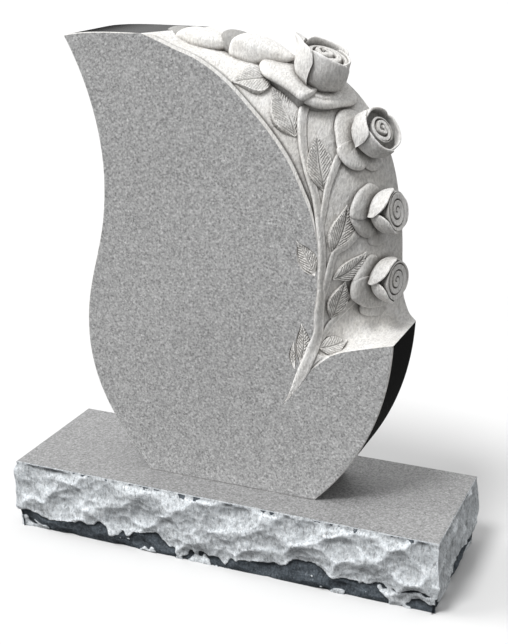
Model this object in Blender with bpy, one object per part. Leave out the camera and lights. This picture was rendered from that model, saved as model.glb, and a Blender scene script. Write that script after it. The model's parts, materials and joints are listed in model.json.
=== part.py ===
"""Teardrop headstone: a carved granite tablet on a rock-pitched base.

Metres, +Z up, the front faces -Y. The origin is the middle of the base's underside.
The tablet is one stone: a slab whose upper right edge is carved back into a slope,
with roses, buds, leaves and stems standing on that slope.
"""

import math

import bpy
import numpy as np

# Sizes that can be set by themselves
BASE_WIDTH = 0.9144
BASE_DEPTH = 0.3048
BASE_HEIGHT = 0.1524
ROCK_BULGE = 0.010
ROCK_FOOT_INSET = 0.005
TABLET_WIDTH = 0.670
TABLET_HEIGHT = 0.8885
TABLET_THICKNESS = 0.1524
JOINT_GAP = 0.0003
LIP_WIDTH = 0.007
LIP_DROP = 0.0025
LIP_STEP = 0.007
TRUNK_RADIUS = 0.0105
STEM_RADIUS = 0.0080
TWIG_RADIUS = 0.0062
LEAF_THICKNESS = 0.0055
FACE_LEAF_THICKNESS = 0.0030
ROOT_DEPTH = 0.012
FACE_STEM_SINK = 0.004
WELD_DISTANCE = 0.00002

# Outline of the tablet, in thousandths of its width and of its height
TIP = (-503, 988)
WAIST = (-391, 684)
BELLY = (-464, 332)
FOOT_LEFT = (-266, 0)
FOOT_RIGHT = (275, 0)
SHOULDER = (497, 389)
TOP_FLAT = (-299, 1000)
LEFT_SIDE = [
    [FOOT_LEFT, (-349, 83), (-464, 175), BELLY],
    [BELLY, (-464, 469), (-391, 524), WAIST],
    [WAIST, (-391, 773), (-424, 884), TIP],
]
TOP_SIDE = [[TIP, (-463, 997), (-388, 1000), TOP_FLAT]]
RIGHT_SIDE = [[SHOULDER, (490, 219), (396, 93), FOOT_RIGHT]]

# Stations along the carved band: its edge on the face, its rim at the back (both in
# thousandths of the width and of the height) and how far it swells between, in metres
STATIONS = [
    ((-257, 1000), (-149, 1000), 0.000),
    ((-219, 990), (-112, 990), -0.006),
    ((-158, 972), (-63, 979), -0.008),
    ((-82, 950), (7, 968), -0.004),
    ((0, 909), (90, 956), 0.004),
    ((78, 852), (182, 933), 0.013),
    ((131, 808), (257, 904), 0.014),
    ((182, 755), (319, 862), 0.014),
    ((224, 693), (373, 804), 0.014),
    ((254, 639), (416, 723), 0.013),
    ((273, 568), (442, 613), 0.012),
    ((272, 490), (449, 527), 0.010),
    ((266, 422), (451, 484), 0.006),
    ((263, 366), (454, 460), -0.008),
    ((287, 340), (458, 441), -0.020),
    ((352, 359), (466, 423), -0.026),
    ((430, 376), (476, 406), -0.016),
    (SHOULDER, SHOULDER, 0.000),
]
LAST_STATION = len(STATIONS) - 1
LIP_FULL = 1.0
LIP_FADES = 9.0
LIP_FADE_LENGTH = 1.5
LIP_BESIDE_STEMS = 0.25

# How finely the solids are faceted
CURVE_STEPS = 9
COLUMNS_PER_STATION = 4
GROUND_ROWS = 7
STEM_SIDES = 6
ROSE_SIDES = 24
BUD_SIDES = 10
ROCK_COLUMNS = 32
ROCK_END_COLUMNS = 11
ROCK_ROWS = 6

HONED_GREY = (0.36, 0.37, 0.37, 1)
SPLIT_GREY = (0.48, 0.50, 0.52, 1)


def clear_scene():
    for obj in list(bpy.data.objects):
        bpy.data.objects.remove(obj, do_unlink=True)


def stone(name, colour, roughness):
    material = bpy.data.materials.new(name)
    material.use_nodes = True
    shader = material.node_tree.nodes["Principled BSDF"]
    shader.inputs["Base Color"].default_value = colour
    shader.inputs["Roughness"].default_value = roughness
    shader.inputs["Metallic"].default_value = 0.0
    return material


def add_object(name, points, faces, material=None):
    """One mesh object in the scene."""
    mesh = bpy.data.meshes.new(name)
    mesh.from_pydata([tuple(p) for p in points], [], faces)
    mesh.validate()
    obj = bpy.data.objects.new(name, mesh)
    bpy.context.scene.collection.objects.link(obj)
    if material:
        mesh.materials.append(material)
    return obj


def bezier(segment, steps):
    """Points of a cubic curve through its four control points, ends included."""
    a, b, c, d = np.array(segment, float)
    t = np.linspace(0, 1, steps + 1)[:, None]
    u = 1 - t
    return u**3 * a + 3 * u**2 * t * b + 3 * u * t**2 * c + t**3 * d


def chain(segments, steps):
    """The curves of one side, joined without repeating a point."""
    points = [bezier(segment, steps) for segment in segments]
    return np.concatenate([points[0]] + [piece[1:] for piece in points[1:]])


def glide(rows, t):
    """A smooth curve through the rows, read at t counted in rows."""
    rows = np.asarray(rows, float)
    t = np.clip(np.asarray(t, float), 0, len(rows) - 1)
    i = np.minimum(t.astype(int), len(rows) - 2)
    f = (t - i)[..., None]
    here, there = rows[i], rows[i + 1]
    before = np.where((i > 0)[..., None], rows[np.maximum(i - 1, 0)], 2 * here - there)
    last = (i < len(rows) - 2)[..., None]
    after = np.where(last, rows[np.minimum(i + 2, len(rows) - 1)], 2 * there - here)
    return 0.5 * (
        2 * here
        + (there - before) * f
        + (2 * before - 5 * here + 4 * there - after) * f**2
        + (3 * here - before - 3 * there + after) * f**3
    )


FRONT = -TABLET_THICKNESS / 2
BACK = TABLET_THICKNESS / 2
TABLET_FOOT = BASE_HEIGHT + JOINT_GAP
SHEET = np.array([TABLET_WIDTH, TABLET_HEIGHT]) / 1000


def on_plane(marks, y):
    """World points of outline marks on the upright plane at y."""
    marks = np.asarray(marks, float) * SHEET
    depth = np.broadcast_to(y, marks[..., 0].shape)
    return np.stack([marks[..., 0], depth, marks[..., 1] + TABLET_FOOT], -1)


def unit(v):
    return v / (np.linalg.norm(v, axis=-1, keepdims=True) + 1e-12)


def band_edges(t):
    """The band's edge on the face, its rim, its swelling and the outward way on the face."""
    table = np.array([[*on_face, *rim, swell] for on_face, rim, swell in STATIONS])
    row = glide(table, t)
    edge = on_plane(row[..., :2], FRONT)
    rim = on_plane(row[..., 2:4], BACK)
    step = 0.01
    ahead, behind = glide(table, t + step), glide(table, t - step)
    along = on_plane(ahead[..., :2], FRONT) - on_plane(behind[..., :2], FRONT)
    out = unit(np.stack([-along[..., 2], 0 * along[..., 0], along[..., 0]], -1))
    return edge, rim, row[..., 4:5], out


def lip_share(t):
    """How much of the lip shows: none at the band's ends, little beside the stems."""
    start = np.clip(t / LIP_FULL, 0, 1)
    middle = np.clip(1 - (t - LIP_FADES) / LIP_FADE_LENGTH, LIP_BESIDE_STEMS, 1)
    end = np.clip(LAST_STATION - t, 0, 1)
    return (start * middle * end)[..., None]


def band(t, s):
    """Points and outward normals of the carved slope: t in stations, s from lip to rim."""
    t, s = np.broadcast_arrays(np.asarray(t, float), np.asarray(s, float))

    def ruled(t, s):
        edge, rim, swell, out = band_edges(t)
        share = lip_share(t)
        foot = edge + out * LIP_WIDTH * share + np.array([0, LIP_DROP + LIP_STEP, 0]) * share
        return foot + (rim - foot) * s[..., None], swell

    step = 0.001
    point, swell = ruled(t, s)
    along = ruled(t + step, s)[0] - ruled(t - step, s)[0]
    across = ruled(t, s + step)[0] - ruled(t, s - step)[0]
    normal = unit(np.cross(along, across))
    return point + normal * swell * (4 * s * (1 - s))[..., None], normal


def face(x, v, sink=0.0):
    """A place on the flat face or sunk behind it, as a point and a normal."""
    return on_plane((x, v), FRONT + sink), np.array([0.0, -1.0, 0.0])


# Stems as places they pass, and the radius at each
TRUNK = [
    (face(172, 218), 0.15),
    (face(200, 262, FACE_STEM_SINK / 2), 0.65),
    (face(233, 305, FACE_STEM_SINK), 1.05),
    (face(258, 345, FACE_STEM_SINK), 1.15),
    (band(12.6, 0.05), 1.00),
    (band(11.9, 0.04), 0.95),
    (band(11.2, 0.04), 0.70),
]
LEFT_STEM = [
    (band(11.4, 0.03), 0.80),
    (band(10.7, 0.03), 1.00),
    (band(10.0, 0.04), 1.00),
    (band(9.3, 0.04), 1.00),
    (band(8.4, 0.06), 1.00),
    (band(7.5, 0.09), 1.00),
    (band(6.8, 0.16), 1.00),
    (band(6.2, 0.30), 1.05),
    (band(5.9, 0.42), 1.10),
]
SECOND_STEM = [
    (band(9.5, 0.03), 0.80),
    (band(8.8, 0.11), 1.00),
    (band(8.3, 0.20), 1.00),
    (band(8.0, 0.31), 1.00),
    (band(7.8, 0.42), 1.05),
    (band(7.8, 0.58), 1.20),
]
THIRD_STEM = [
    (band(11.3, 0.05), 0.80),
    (band(10.8, 0.09), 1.00),
    (band(10.4, 0.12), 1.00),
    (band(10.1, 0.17), 1.00),
    (band(10.0, 0.30), 1.00),
    (band(9.8, 0.43), 1.10),
]
FOURTH_STEM = [
    (band(12.9, 0.04), 0.80),
    (band(12.6, 0.16), 1.00),
    (band(12.4, 0.25), 1.00),
    (band(12.2, 0.35), 1.00),
    (band(11.9, 0.47), 1.20),
]
STEMS = [
    ("trunk", TRUNK, TRUNK_RADIUS),
    ("left_stem", LEFT_STEM, STEM_RADIUS),
    ("second_stem", SECOND_STEM, TWIG_RADIUS),
    ("third_stem", THIRD_STEM, STEM_RADIUS),
    ("fourth_stem", FOURTH_STEM, STEM_RADIUS),
]

# Leaves: where the stalk end and the tip lie, the width, the sideways bow, the thickness
LEAVES = [
    ("leaf_low_face", face(225, 322), face(226, 412), 0.030, 0.0055, FACE_LEAF_THICKNESS),
    ("leaf_low_outer", face(207, 304), face(205, 371), 0.013, -0.0035, FACE_LEAF_THICKNESS),
    ("leaf_face", face(264, 520), face(209, 591), 0.037, 0.002, FACE_LEAF_THICKNESS),
    ("leaf_foot", band(13.4, 0.02), band(14.1, 0.26), 0.030, 0.003, LEAF_THICKNESS),
    ("leaf_tall", band(8.35, 0.15), band(6.85, 0.33), 0.044, -0.004, LEAF_THICKNESS),
    ("leaf_by_lip", band(6.5, 0.14), band(4.8, 0.30), 0.052, 0.004, LEAF_THICKNESS),
    ("leaf_top", band(4.6, 0.40), band(4.2, 0.01), 0.048, 0.000, LEAF_THICKNESS),
    ("leaf_middle", band(10.1, 0.13), band(9.1, 0.35), 0.045, 0.004, LEAF_THICKNESS),
    ("leaf_between", band(10.8, 0.15), band(10.35, 0.52), 0.034, 0.006, LEAF_THICKNESS),
    ("leaf_lower", band(12.3, 0.20), band(10.95, 0.29), 0.040, -0.002, LEAF_THICKNESS),
]

# Roses: where the head's axis leaves the slope, which way it faces, its length from the
# slope to its rim, its radius, and the collar of petals under it
ROSES = [
    ("rose_top", band(5.69, 0.63), (0.36, 0.06, 0.93), 0.077, 0.050, 0.060),
    ("rose_upper", band(7.89, 0.72), (0.80, -0.26, 0.54), 0.058, 0.047, 0.052),
    ("rose_middle", band(9.55, 0.64), (0.97, -0.17, 0.17), 0.057, 0.040, 0.060),
    ("rose_lower", band(11.23, 0.65), (0.97, -0.23, 0.02), 0.055, 0.040, 0.060),
]

# Open petals that lie on the slope under the roses: root, tip, width and thickness
PETALS = [
    ("petal_top_left", band(5.5, 0.62), band(4.30, 0.38), 0.066, 0.014),
    ("petal_top_low", band(5.7, 0.60), band(5.95, 0.38), 0.074, 0.013),
    ("petal_top_right", band(5.8, 0.66), band(6.70, 0.66), 0.066, 0.014),
    ("petal_upper", band(7.8, 0.66), band(8.42, 0.48), 0.052, 0.013),
    ("petal_middle", band(9.8, 0.64), band(10.52, 0.74), 0.056, 0.014),
    ("petal_lower", band(11.6, 0.66), band(13.3, 0.66), 0.070, 0.018),
]

# Buds: the marks of the two ends, the depth behind mid thickness, half the span across
# and half the height
BUDS = [
    ("bud_left", (-232, 982), (-62, 968), 0.014, 0.040, 0.022),
    ("bud_right", (-76, 981), (106, 946), 0.020, 0.042, 0.027),
]


def loft(name, rings, material=None):
    """A closed solid over equal rings of points, with flat ends."""
    count = len(rings[0])
    points = np.concatenate(rings)
    faces = []
    for k in range(len(rings) - 1):
        for i in range(count):
            j = (i + 1) % count
            low, high = k * count, (k + 1) * count
            faces.append((low + i, low + j, high + j, high + i))
    faces.append(tuple(reversed(range(count))))
    faces.append(tuple(range((len(rings) - 1) * count, len(rings) * count)))
    return add_object(name, points, faces, material)


def as_tool(obj):
    obj.hide_render = True
    obj.display_type = "WIRE"
    return obj


def turn_outward(obj):
    """Turns the faces round where the solid came out inside out."""
    mesh = obj.data
    volume = 0.0
    for polygon in mesh.polygons:
        corners = [mesh.vertices[i].co for i in polygon.vertices]
        for a, b in zip(corners[1:], corners[2:]):
            volume += corners[0].dot(a.cross(b))
    if volume < 0:
        mesh.flip_normals()
    return obj


def spread(places, steps):
    """Points and normals of a smooth run through places, in equal steps."""
    points = np.array([p for p, _ in places])
    normals = np.array([n for _, n in places])
    t = np.linspace(0, len(places) - 1, steps)
    return glide(points, t), unit(glide(normals, t))


def sideways(points, normals):
    along = unit(np.gradient(points, axis=0))
    return unit(np.cross(along, normals))


def stem(name, marks, radius):
    """A round stem half sunk in the stone, along its marks."""
    places = [place for place, _ in marks]
    shares = np.array([[share] for _, share in marks])
    steps = 2 * len(marks) - 1
    points, normals = spread(places, steps)
    radii = radius * glide(shares, np.linspace(0, len(marks) - 1, steps))[:, 0]
    side = sideways(points, normals)
    rings = []
    for k in range(steps):
        ring = []
        for i in range(STEM_SIDES):
            angle = 2 * math.pi * i / STEM_SIDES
            ring.append(points[k] + radii[k] * (math.cos(angle) * side[k] + math.sin(angle) * normals[k]))
        rings.append(np.array(ring))
    return turn_outward(as_tool(loft(name, rings)))


def blade(name, points, normals, half_widths, thickness, shares, section):
    """A solid strip on the stone: section holds (share of half width, share of thickness)."""
    rings = []
    for centre, normal, half, share in zip(points, normals, half_widths, shares):
        ring = []
        for across, high in section:
            height = -ROOT_DEPTH if high is None else thickness * high
            ring.append(centre + half * share * across + normal * height)
        rings.append(np.array(ring))
    return turn_outward(as_tool(loft(name, rings)))


LEAF_SHARES = [0.12, 0.74, 1.0, 0.98, 0.80, 0.48, 0.06]
LEAF_SECTION = [(-1.0, None), (1.0, None), (1.0, 1.0), (0.5, 0.95), (0.0, 0.45), (-0.5, 0.95), (-1.0, 1.0)]


def leaf(name, base, tip, width, bow, thickness):
    """A leaf with its two halves folded up from a sunk midrib and its root in the stone."""
    points, normals = spread([base, tip], len(LEAF_SHARES))
    side = sideways(points, normals)
    u = np.linspace(0, 1, len(LEAF_SHARES))
    points = points + side * (bow * np.sin(math.pi * u))[:, None]
    return blade(name, points, normals, side * width / 2, thickness, LEAF_SHARES, LEAF_SECTION)


# Profile of a rose head: share of its length, share of its radius, share of the petal step
ROSE_BOWL = [
    (-0.25, 0.28, 0.0),
    (0.05, 0.52, 0.4),
    (0.22, 0.82, 1.0),
    (0.45, 1.00, 1.0),
    (0.72, 1.05, 1.0),
    (0.92, 1.02, 0.7),
    (1.00, 0.95, 0.3),
    (0.99, 0.86, 0.1),
    (0.84, 0.79, 0.0),
]
PETALS_ROUND = 3
PETAL_STEP = 0.09
SPIRAL_TURNS = 2.6
SPIRAL_TOP = 0.94
SPIRAL_DEPTH = 0.11
SPIRAL_REACH = 0.72
SPIRAL_RINGS = 7


def axes_round(axis):
    """Two unit ways square to the axis, the first one level."""
    axis = unit(np.array(axis, float))
    level = unit(np.cross([0.0, -1.0, 0.0], axis))
    return axis, level, np.cross(axis, level)


def rose(name, place, facing, length, radius):
    """A rose head: overlapping petals round a bowl, and a spiral inside its rim."""
    axis, across, up = axes_round(facing)
    turns = np.arange(ROSE_SIDES) / ROSE_SIDES
    round_about = np.cos(2 * math.pi * turns)[:, None] * across + np.sin(2 * math.pi * turns)[:, None] * up
    rings = []
    for high, wide, step in ROSE_BOWL:
        reach = radius * (wide - step * PETAL_STEP * ((turns * PETALS_ROUND) % 1.0))
        rings.append(place[0] + axis * length * high + reach[:, None] * round_about)
    for k in range(SPIRAL_RINGS):
        wide = SPIRAL_REACH * (1 - k / SPIRAL_RINGS)
        wave = 0.5 - 0.5 * np.cos(2 * math.pi * (SPIRAL_TURNS * wide / SPIRAL_REACH + turns))
        high = length * (SPIRAL_TOP - SPIRAL_DEPTH * wave)
        rings.append(place[0] + high[:, None] * axis + radius * wide * round_about)
    return turn_outward(as_tool(loft(name, rings)))


COLLAR_PROFILE = [(-0.30, 0.55), (-0.04, 0.96), (0.04, 1.00), (0.15, 0.90), (0.24, 0.66), (0.26, 0.30)]
COLLAR_LOBES = 5
COLLAR_WAVE = 0.12


def collar(name, place, facing, radius):
    """The ring of open petals that lies on the stone under a rose."""
    axis, across, up = axes_round(unit(np.array(facing, float)) + place[1])
    rings = []
    for high, wide in COLLAR_PROFILE:
        points = []
        for i in range(ROSE_SIDES):
            angle = 2 * math.pi * i / ROSE_SIDES
            reach = radius * wide * (1 - COLLAR_WAVE * abs(math.cos(COLLAR_LOBES * angle / 2)) ** 3)
            way = math.cos(angle) * across + math.sin(angle) * up
            points.append(place[0] + axis * radius * high + reach * way)
        rings.append(np.array(points))
    return turn_outward(as_tool(loft(name, rings)))


PETAL_SHARES = [0.75, 0.95, 1.00, 0.92, 0.68, 0.14]
PETAL_SECTION = [(-1.0, None), (1.0, None), (1.0, 0.7), (0.5, 1.1), (0.0, 1.25), (-0.5, 1.1), (-1.0, 0.7)]


def petal(name, root, tip, width, thickness):
    """A broad domed petal lying on the stone."""
    points, normals = spread([root, tip], len(PETAL_SHARES))
    half_widths = sideways(points, normals) * width / 2
    return blade(name, points, normals, half_widths, thickness, PETAL_SHARES, PETAL_SECTION)


BUD_PROFILE = [0.40, 0.78, 0.97, 1.00, 0.92, 0.75, 0.50, 0.15]
BUD_ENDS = [0.0, 0.05, 0.18, 0.35, 0.55, 0.75, 0.90, 1.0]


def bud(name, start, end, depth, half_span, half_height):
    """A closed bud lying along the top of the stone, blunt at its left end."""
    first, last = on_plane(start, depth), on_plane(end, depth)
    up = unit(np.cross(last - first, [0.0, 1.0, 0.0]))
    back = np.array([0.0, 1.0, 0.0])
    rings = []
    for share, gone in zip(BUD_PROFILE, BUD_ENDS):
        ring = []
        for i in range(BUD_SIDES):
            angle = 2 * math.pi * i / BUD_SIDES
            out = math.cos(angle) * back * half_span + math.sin(angle) * up * half_height
            ring.append(first + (last - first) * gone + out * share)
        rings.append(np.array(ring))
    return turn_outward(as_tool(loft(name, rings)))


def tablet_blank(material):
    """The slab with its carved slope, before the flowers."""
    left = chain(LEFT_SIDE, CURVE_STEPS)
    top = chain(TOP_SIDE, CURVE_STEPS)[1:]
    right = chain(RIGHT_SIDE, CURVE_STEPS)[1:]
    columns = LAST_STATION * COLUMNS_PER_STATION + 1
    t = np.linspace(0, LAST_STATION, columns)
    edge, rim, _, out = band_edges(t)
    share = lip_share(t)
    lip = edge + out * LIP_WIDTH * share + np.array([0, LIP_DROP, 0]) * share
    rows = [edge, lip]
    for s in np.linspace(0, 1, GROUND_ROWS + 1):
        rows.append(band(t, np.full(columns, s))[0])

    points = []

    def add(new):
        start = len(points)
        points.extend(np.asarray(new))
        return list(range(start, len(points)))

    front_left, back_left = add(on_plane(left, FRONT)), add(on_plane(left, BACK))
    front_top, back_top = add(on_plane(top, FRONT)), add(on_plane(top, BACK))
    front_right, back_right = add(on_plane(right, FRONT)), add(on_plane(right, BACK))
    grid = [add(row) for row in rows]
    first_column = [row[0] for row in grid]
    last_column = [row[-1] for row in grid]
    faces = []
    faces.append(tuple(front_left + front_top + grid[0] + front_right))
    faces.append(tuple(reversed(back_left + back_top + grid[-1] + back_right)))
    front = front_left + front_top
    back = back_left + back_top
    for k in range(len(front) - 1):
        faces.append((front[k + 1], front[k], back[k], back[k + 1]))
    faces.append((front[-1], back[-1], *reversed(first_column)))
    faces.append((*last_column, back_right[0], front_right[0]))
    for k in range(len(front_right) - 1):
        faces.append((front_right[k + 1], front_right[k], back_right[k], back_right[k + 1]))
    faces.append((front_left[0], front_right[-1], back_right[-1], back_left[0]))
    for low, high in zip(grid, grid[1:]):
        for k in range(columns - 1):
            faces.append((low[k], high[k], high[k + 1], low[k + 1]))
    return turn_outward(add_object("tablet", points, faces, material))


def weld(obj):
    modifier = obj.modifiers.new("weld", "WELD")
    modifier.merge_threshold = WELD_DISTANCE


def unite(obj, tools):
    """Joins the shapes to the object in one union, from a collection of their own."""
    collection = bpy.data.collections.new("carving")
    bpy.context.scene.collection.children.link(collection)
    for tool in tools:
        bpy.context.scene.collection.objects.unlink(tool)
        collection.objects.link(tool)
    modifier = obj.modifiers.new("carving", "BOOLEAN")
    modifier.operation = "UNION"
    modifier.solver = "EXACT"
    modifier.operand_type = "COLLECTION"
    modifier.collection = collection


def make_tablet():
    tablet = tablet_blank(stone("honed_granite", HONED_GREY, 0.55))
    weld(tablet)
    tools = [stem(*row) for row in STEMS]
    tools += [leaf(*row) for row in LEAVES]
    tools += [petal(*row) for row in PETALS]
    tools += [bud(*row) for row in BUDS]
    for name, place, facing, length, radius, collar_radius in ROSES:
        tools.append(collar(name + "_collar", place, facing, collar_radius))
        tools.append(rose(name, place, facing, length, radius))
    unite(tablet, tools)
    return tablet


GOLDEN = 0.6180339887
PLASTIC = 0.7548776662
SCOOPS = 84
SCOOP_REACH = 0.058
SCOOP_STRETCH = 1.4
SCOOP_FLOORS = 0.6


def rock_relief(along, height, length):
    """How far the pitched stone stands out, 0 to 1: hollows that meet in ridges."""
    value = np.ones(np.shape(along))
    for i in range(SCOOPS):
        centre = length * ((i * GOLDEN) % 1.0)
        level = BASE_HEIGHT * ((i * PLASTIC) % 1.0)
        floor = SCOOP_FLOORS * ((i * i * GOLDEN) % 1.0)
        gap = np.abs(along - centre)
        gap = np.minimum(gap, length - gap) / SCOOP_STRETCH
        value = np.minimum(value, floor + (gap**2 + (height - level) ** 2) / SCOOP_REACH**2)
    return value


def rectangle(columns, end_columns):
    """Round the base: points, the outward way, the distance gone, the length, the side."""
    half = np.array([BASE_WIDTH / 2, BASE_DEPTH / 2])
    corners = np.array([(-1, -1), (1, -1), (1, 1), (-1, 1)])
    outward = np.array([(0, -1), (1, 0), (0, 1), (-1, 0)])
    points, ways, side = [], [], []
    for k in range(4):
        steps = columns if k % 2 == 0 else end_columns
        for i in range(steps):
            share = i / steps
            points.append((corners[k] * (1 - share) + corners[(k + 1) % 4] * share) * half)
            ways.append(corners[k] if i == 0 else outward[k])
            side.append(k)
    points = np.array(points)
    step = np.linalg.norm(np.diff(points, axis=0, append=points[:1]), axis=1)
    gone = np.cumsum(step) - step
    return points, np.array(ways), gone, step.sum(), np.array(side)


# How much of the relief shows from the top arris down to the underside
ROCK_ENVELOPE = [0.0, 0.8, 1.0, 1.0, 0.85, 0.45, 0.0]


def make_base():
    """The plinth: flat top and underside, pitched sides that bulge between them."""
    points, ways, gone, length, side = rectangle(ROCK_COLUMNS, ROCK_END_COLUMNS)
    down = np.linspace(0, 1, ROCK_ROWS + 1)
    heights = BASE_HEIGHT * (1 - down)
    envelope = np.interp(down, np.linspace(0, 1, len(ROCK_ENVELOPE)), ROCK_ENVELOPE)
    relief = np.array([rock_relief(gone, z, length) * env for z, env in zip(heights, envelope)])
    offset = ROCK_BULGE * relief - ROCK_FOOT_INSET * down[:, None] ** 4
    for k in range(4):
        offset[:, side == k] *= ROCK_BULGE / offset[:, side == k].max()
    rings = []
    for z, out in zip(heights, offset):
        flat = points + ways * out[:, None]
        rings.append(np.column_stack([flat, np.full(len(flat), z)]))
    return turn_outward(loft("base", rings, stone("pitched_granite", SPLIT_GREY, 0.8)))


def main():
    clear_scene()
    make_base()
    make_tablet()


main()
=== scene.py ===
"""Teardrop headstone, as it looks: the carved tablet, the rock-pitched base and their stone.

Metres, +Z up, the front faces -Y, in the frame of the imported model.
"""

import json
import math

import bpy
import numpy as np
from mathutils import Matrix
from mathutils.geometry import tessellate_polygon

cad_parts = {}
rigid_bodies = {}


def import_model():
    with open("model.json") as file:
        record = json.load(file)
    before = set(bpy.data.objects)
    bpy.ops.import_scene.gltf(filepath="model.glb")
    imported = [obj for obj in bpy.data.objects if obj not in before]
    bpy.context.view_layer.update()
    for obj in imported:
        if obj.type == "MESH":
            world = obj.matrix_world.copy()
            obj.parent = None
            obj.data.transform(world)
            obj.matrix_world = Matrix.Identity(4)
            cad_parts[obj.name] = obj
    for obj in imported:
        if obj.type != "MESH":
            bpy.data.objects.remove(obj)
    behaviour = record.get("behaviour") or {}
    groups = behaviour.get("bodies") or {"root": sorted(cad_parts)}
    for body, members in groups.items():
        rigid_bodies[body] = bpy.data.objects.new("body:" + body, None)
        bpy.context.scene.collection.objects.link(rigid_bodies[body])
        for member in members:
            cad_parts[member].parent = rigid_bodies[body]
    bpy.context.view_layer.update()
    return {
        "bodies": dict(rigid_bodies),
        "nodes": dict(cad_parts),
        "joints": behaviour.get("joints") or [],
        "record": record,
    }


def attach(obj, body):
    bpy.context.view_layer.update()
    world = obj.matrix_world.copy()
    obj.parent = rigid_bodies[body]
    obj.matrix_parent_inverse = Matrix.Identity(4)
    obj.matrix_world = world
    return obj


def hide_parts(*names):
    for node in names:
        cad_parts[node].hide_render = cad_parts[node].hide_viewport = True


BASE_WIDTH = 0.9144
BASE_DEPTH = 0.3048
BASE_HEIGHT = 0.1524
ROCK_BULGE = 0.010
ROCK_FOOT_INSET = 0.005
TABLET_WIDTH = 0.670
TABLET_HEIGHT = 0.8885
TABLET_THICKNESS = 0.1524
JOINT_GAP = 0.0003
LIP_WIDTH = 0.0055
LIP_DROP = 0.0025
LIP_STEP = 0.007
TRUNK_RADIUS = 0.0105
STEM_RADIUS = 0.0080
TWIG_RADIUS = 0.0062
LEAF_THICKNESS = 0.0082
ARRIS = 0.0016

# Outline of the tablet, in thousandths of its width and of its height
TIP = (-503, 988)
WAIST = (-391, 684)
BELLY = (-464, 332)
FOOT_LEFT = (-266, 0)
FOOT_RIGHT = (275, 0)
SHOULDER = (497, 389)
TOP_FLAT = (-299, 1000)
LEFT_SIDE = [
    [FOOT_LEFT, (-349, 83), (-464, 175), BELLY],
    [BELLY, (-464, 469), (-391, 524), WAIST],
    [WAIST, (-391, 773), (-424, 884), TIP],
]
TOP_SIDE = [[TIP, (-463, 997), (-388, 1000), TOP_FLAT]]
RIGHT_SIDE = [[SHOULDER, (490, 219), (396, 93), FOOT_RIGHT]]

# Stations along the carved band: its edge on the face and its rim at the back as outline
# marks, and how far it swells between them, in metres, or sinks where below 0
STATIONS = [
    ((-257, 1000), (-149, 1000), 0.000),
    ((-219, 990), (-112, 990), -0.006),
    ((-158, 972), (-63, 979), -0.008),
    ((-82, 950), (7, 968), -0.004),
    ((0, 909), (90, 956), 0.004),
    ((78, 852), (182, 933), 0.013),
    ((131, 808), (257, 904), 0.014),
    ((182, 755), (319, 862), 0.014),
    ((224, 693), (373, 804), 0.014),
    ((254, 639), (416, 723), 0.013),
    ((273, 568), (442, 613), 0.012),
    ((272, 490), (449, 527), 0.010),
    ((266, 422), (451, 484), -0.005),
    ((263, 366), (454, 460), -0.001),
    ((287, 340), (458, 441), -0.007),
    ((352, 359), (466, 423), -0.015),
    ((430, 376), (476, 406), -0.010),
    (SHOULDER, SHOULDER, 0.000),
]
LAST_STATION = len(STATIONS) - 1

# Stations over which the lip rises, fades beside the stems and ends
LIP_FULL = 1.0
LIP_FADES = 8.4
LIP_FADE_LENGTH = 1.4

FRONT = -TABLET_THICKNESS / 2
BACK = TABLET_THICKNESS / 2
TABLET_FOOT = BASE_HEIGHT + JOINT_GAP
SHEET = np.array([TABLET_WIDTH, TABLET_HEIGHT]) / 1000

# Degrees between faces from which an edge is shaded sharp
TABLET_CREASE = 42
BASE_CREASE = 50

# Material slots of the tablet and of the base
HONED, POLISHED, CARVED = 0, 1, 2
PITCHED, TOP_HONED = 0, 1


# Curves and places


def bezier(segment, steps):
    """Points of a cubic curve through its four control points, ends included."""
    a, b, c, d = np.array(segment, float)
    t = np.linspace(0, 1, steps + 1)[:, None]
    u = 1 - t
    return u**3 * a + 3 * u**2 * t * b + 3 * u * t**2 * c + t**3 * d


def chain(segments, steps):
    """The curves of one side, joined without repeating a point."""
    points = [bezier(segment, steps) for segment in segments]
    return np.concatenate([points[0]] + [piece[1:] for piece in points[1:]])


def glide(rows, t):
    """A smooth curve through the rows, read at t counted in rows."""
    rows = np.asarray(rows, float)
    t = np.clip(np.asarray(t, float), 0, len(rows) - 1)
    i = np.minimum(t.astype(int), len(rows) - 2)
    f = (t - i)[..., None]
    here, there = rows[i], rows[i + 1]
    before = np.where((i > 0)[..., None], rows[np.maximum(i - 1, 0)], 2 * here - there)
    last = (i < len(rows) - 2)[..., None]
    after = np.where(last, rows[np.minimum(i + 2, len(rows) - 1)], 2 * there - here)
    return 0.5 * (
        2 * here
        + (there - before) * f
        + (2 * before - 5 * here + 4 * there - after) * f**2
        + (3 * here - before - 3 * there + after) * f**3
    )


def evenly(rows, count):
    """A smooth curve through the rows, read at a count of equal steps."""
    return glide(rows, np.linspace(0, len(rows) - 1, count))


def on_plane(marks, y):
    """World points of outline marks on the upright plane at y."""
    marks = np.asarray(marks, float) * SHEET
    depth = np.broadcast_to(y, marks[..., 0].shape)
    return np.stack([marks[..., 0], depth, marks[..., 1] + TABLET_FOOT], -1)


def unit(v):
    return v / (np.linalg.norm(v, axis=-1, keepdims=True) + 1e-12)


def ease(low, high, x):
    """0 up to low and 1 from high on, eased between, or the other way where high is less."""
    t = np.clip((x - low) / (high - low), 0, 1)
    return t * t * (3 - 2 * t)


def between(start, full, wane, end, x):
    """1 from full to wane, eased to 0 at start and at end."""
    return ease(start, full, x) * ease(end, wane, x)


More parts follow.
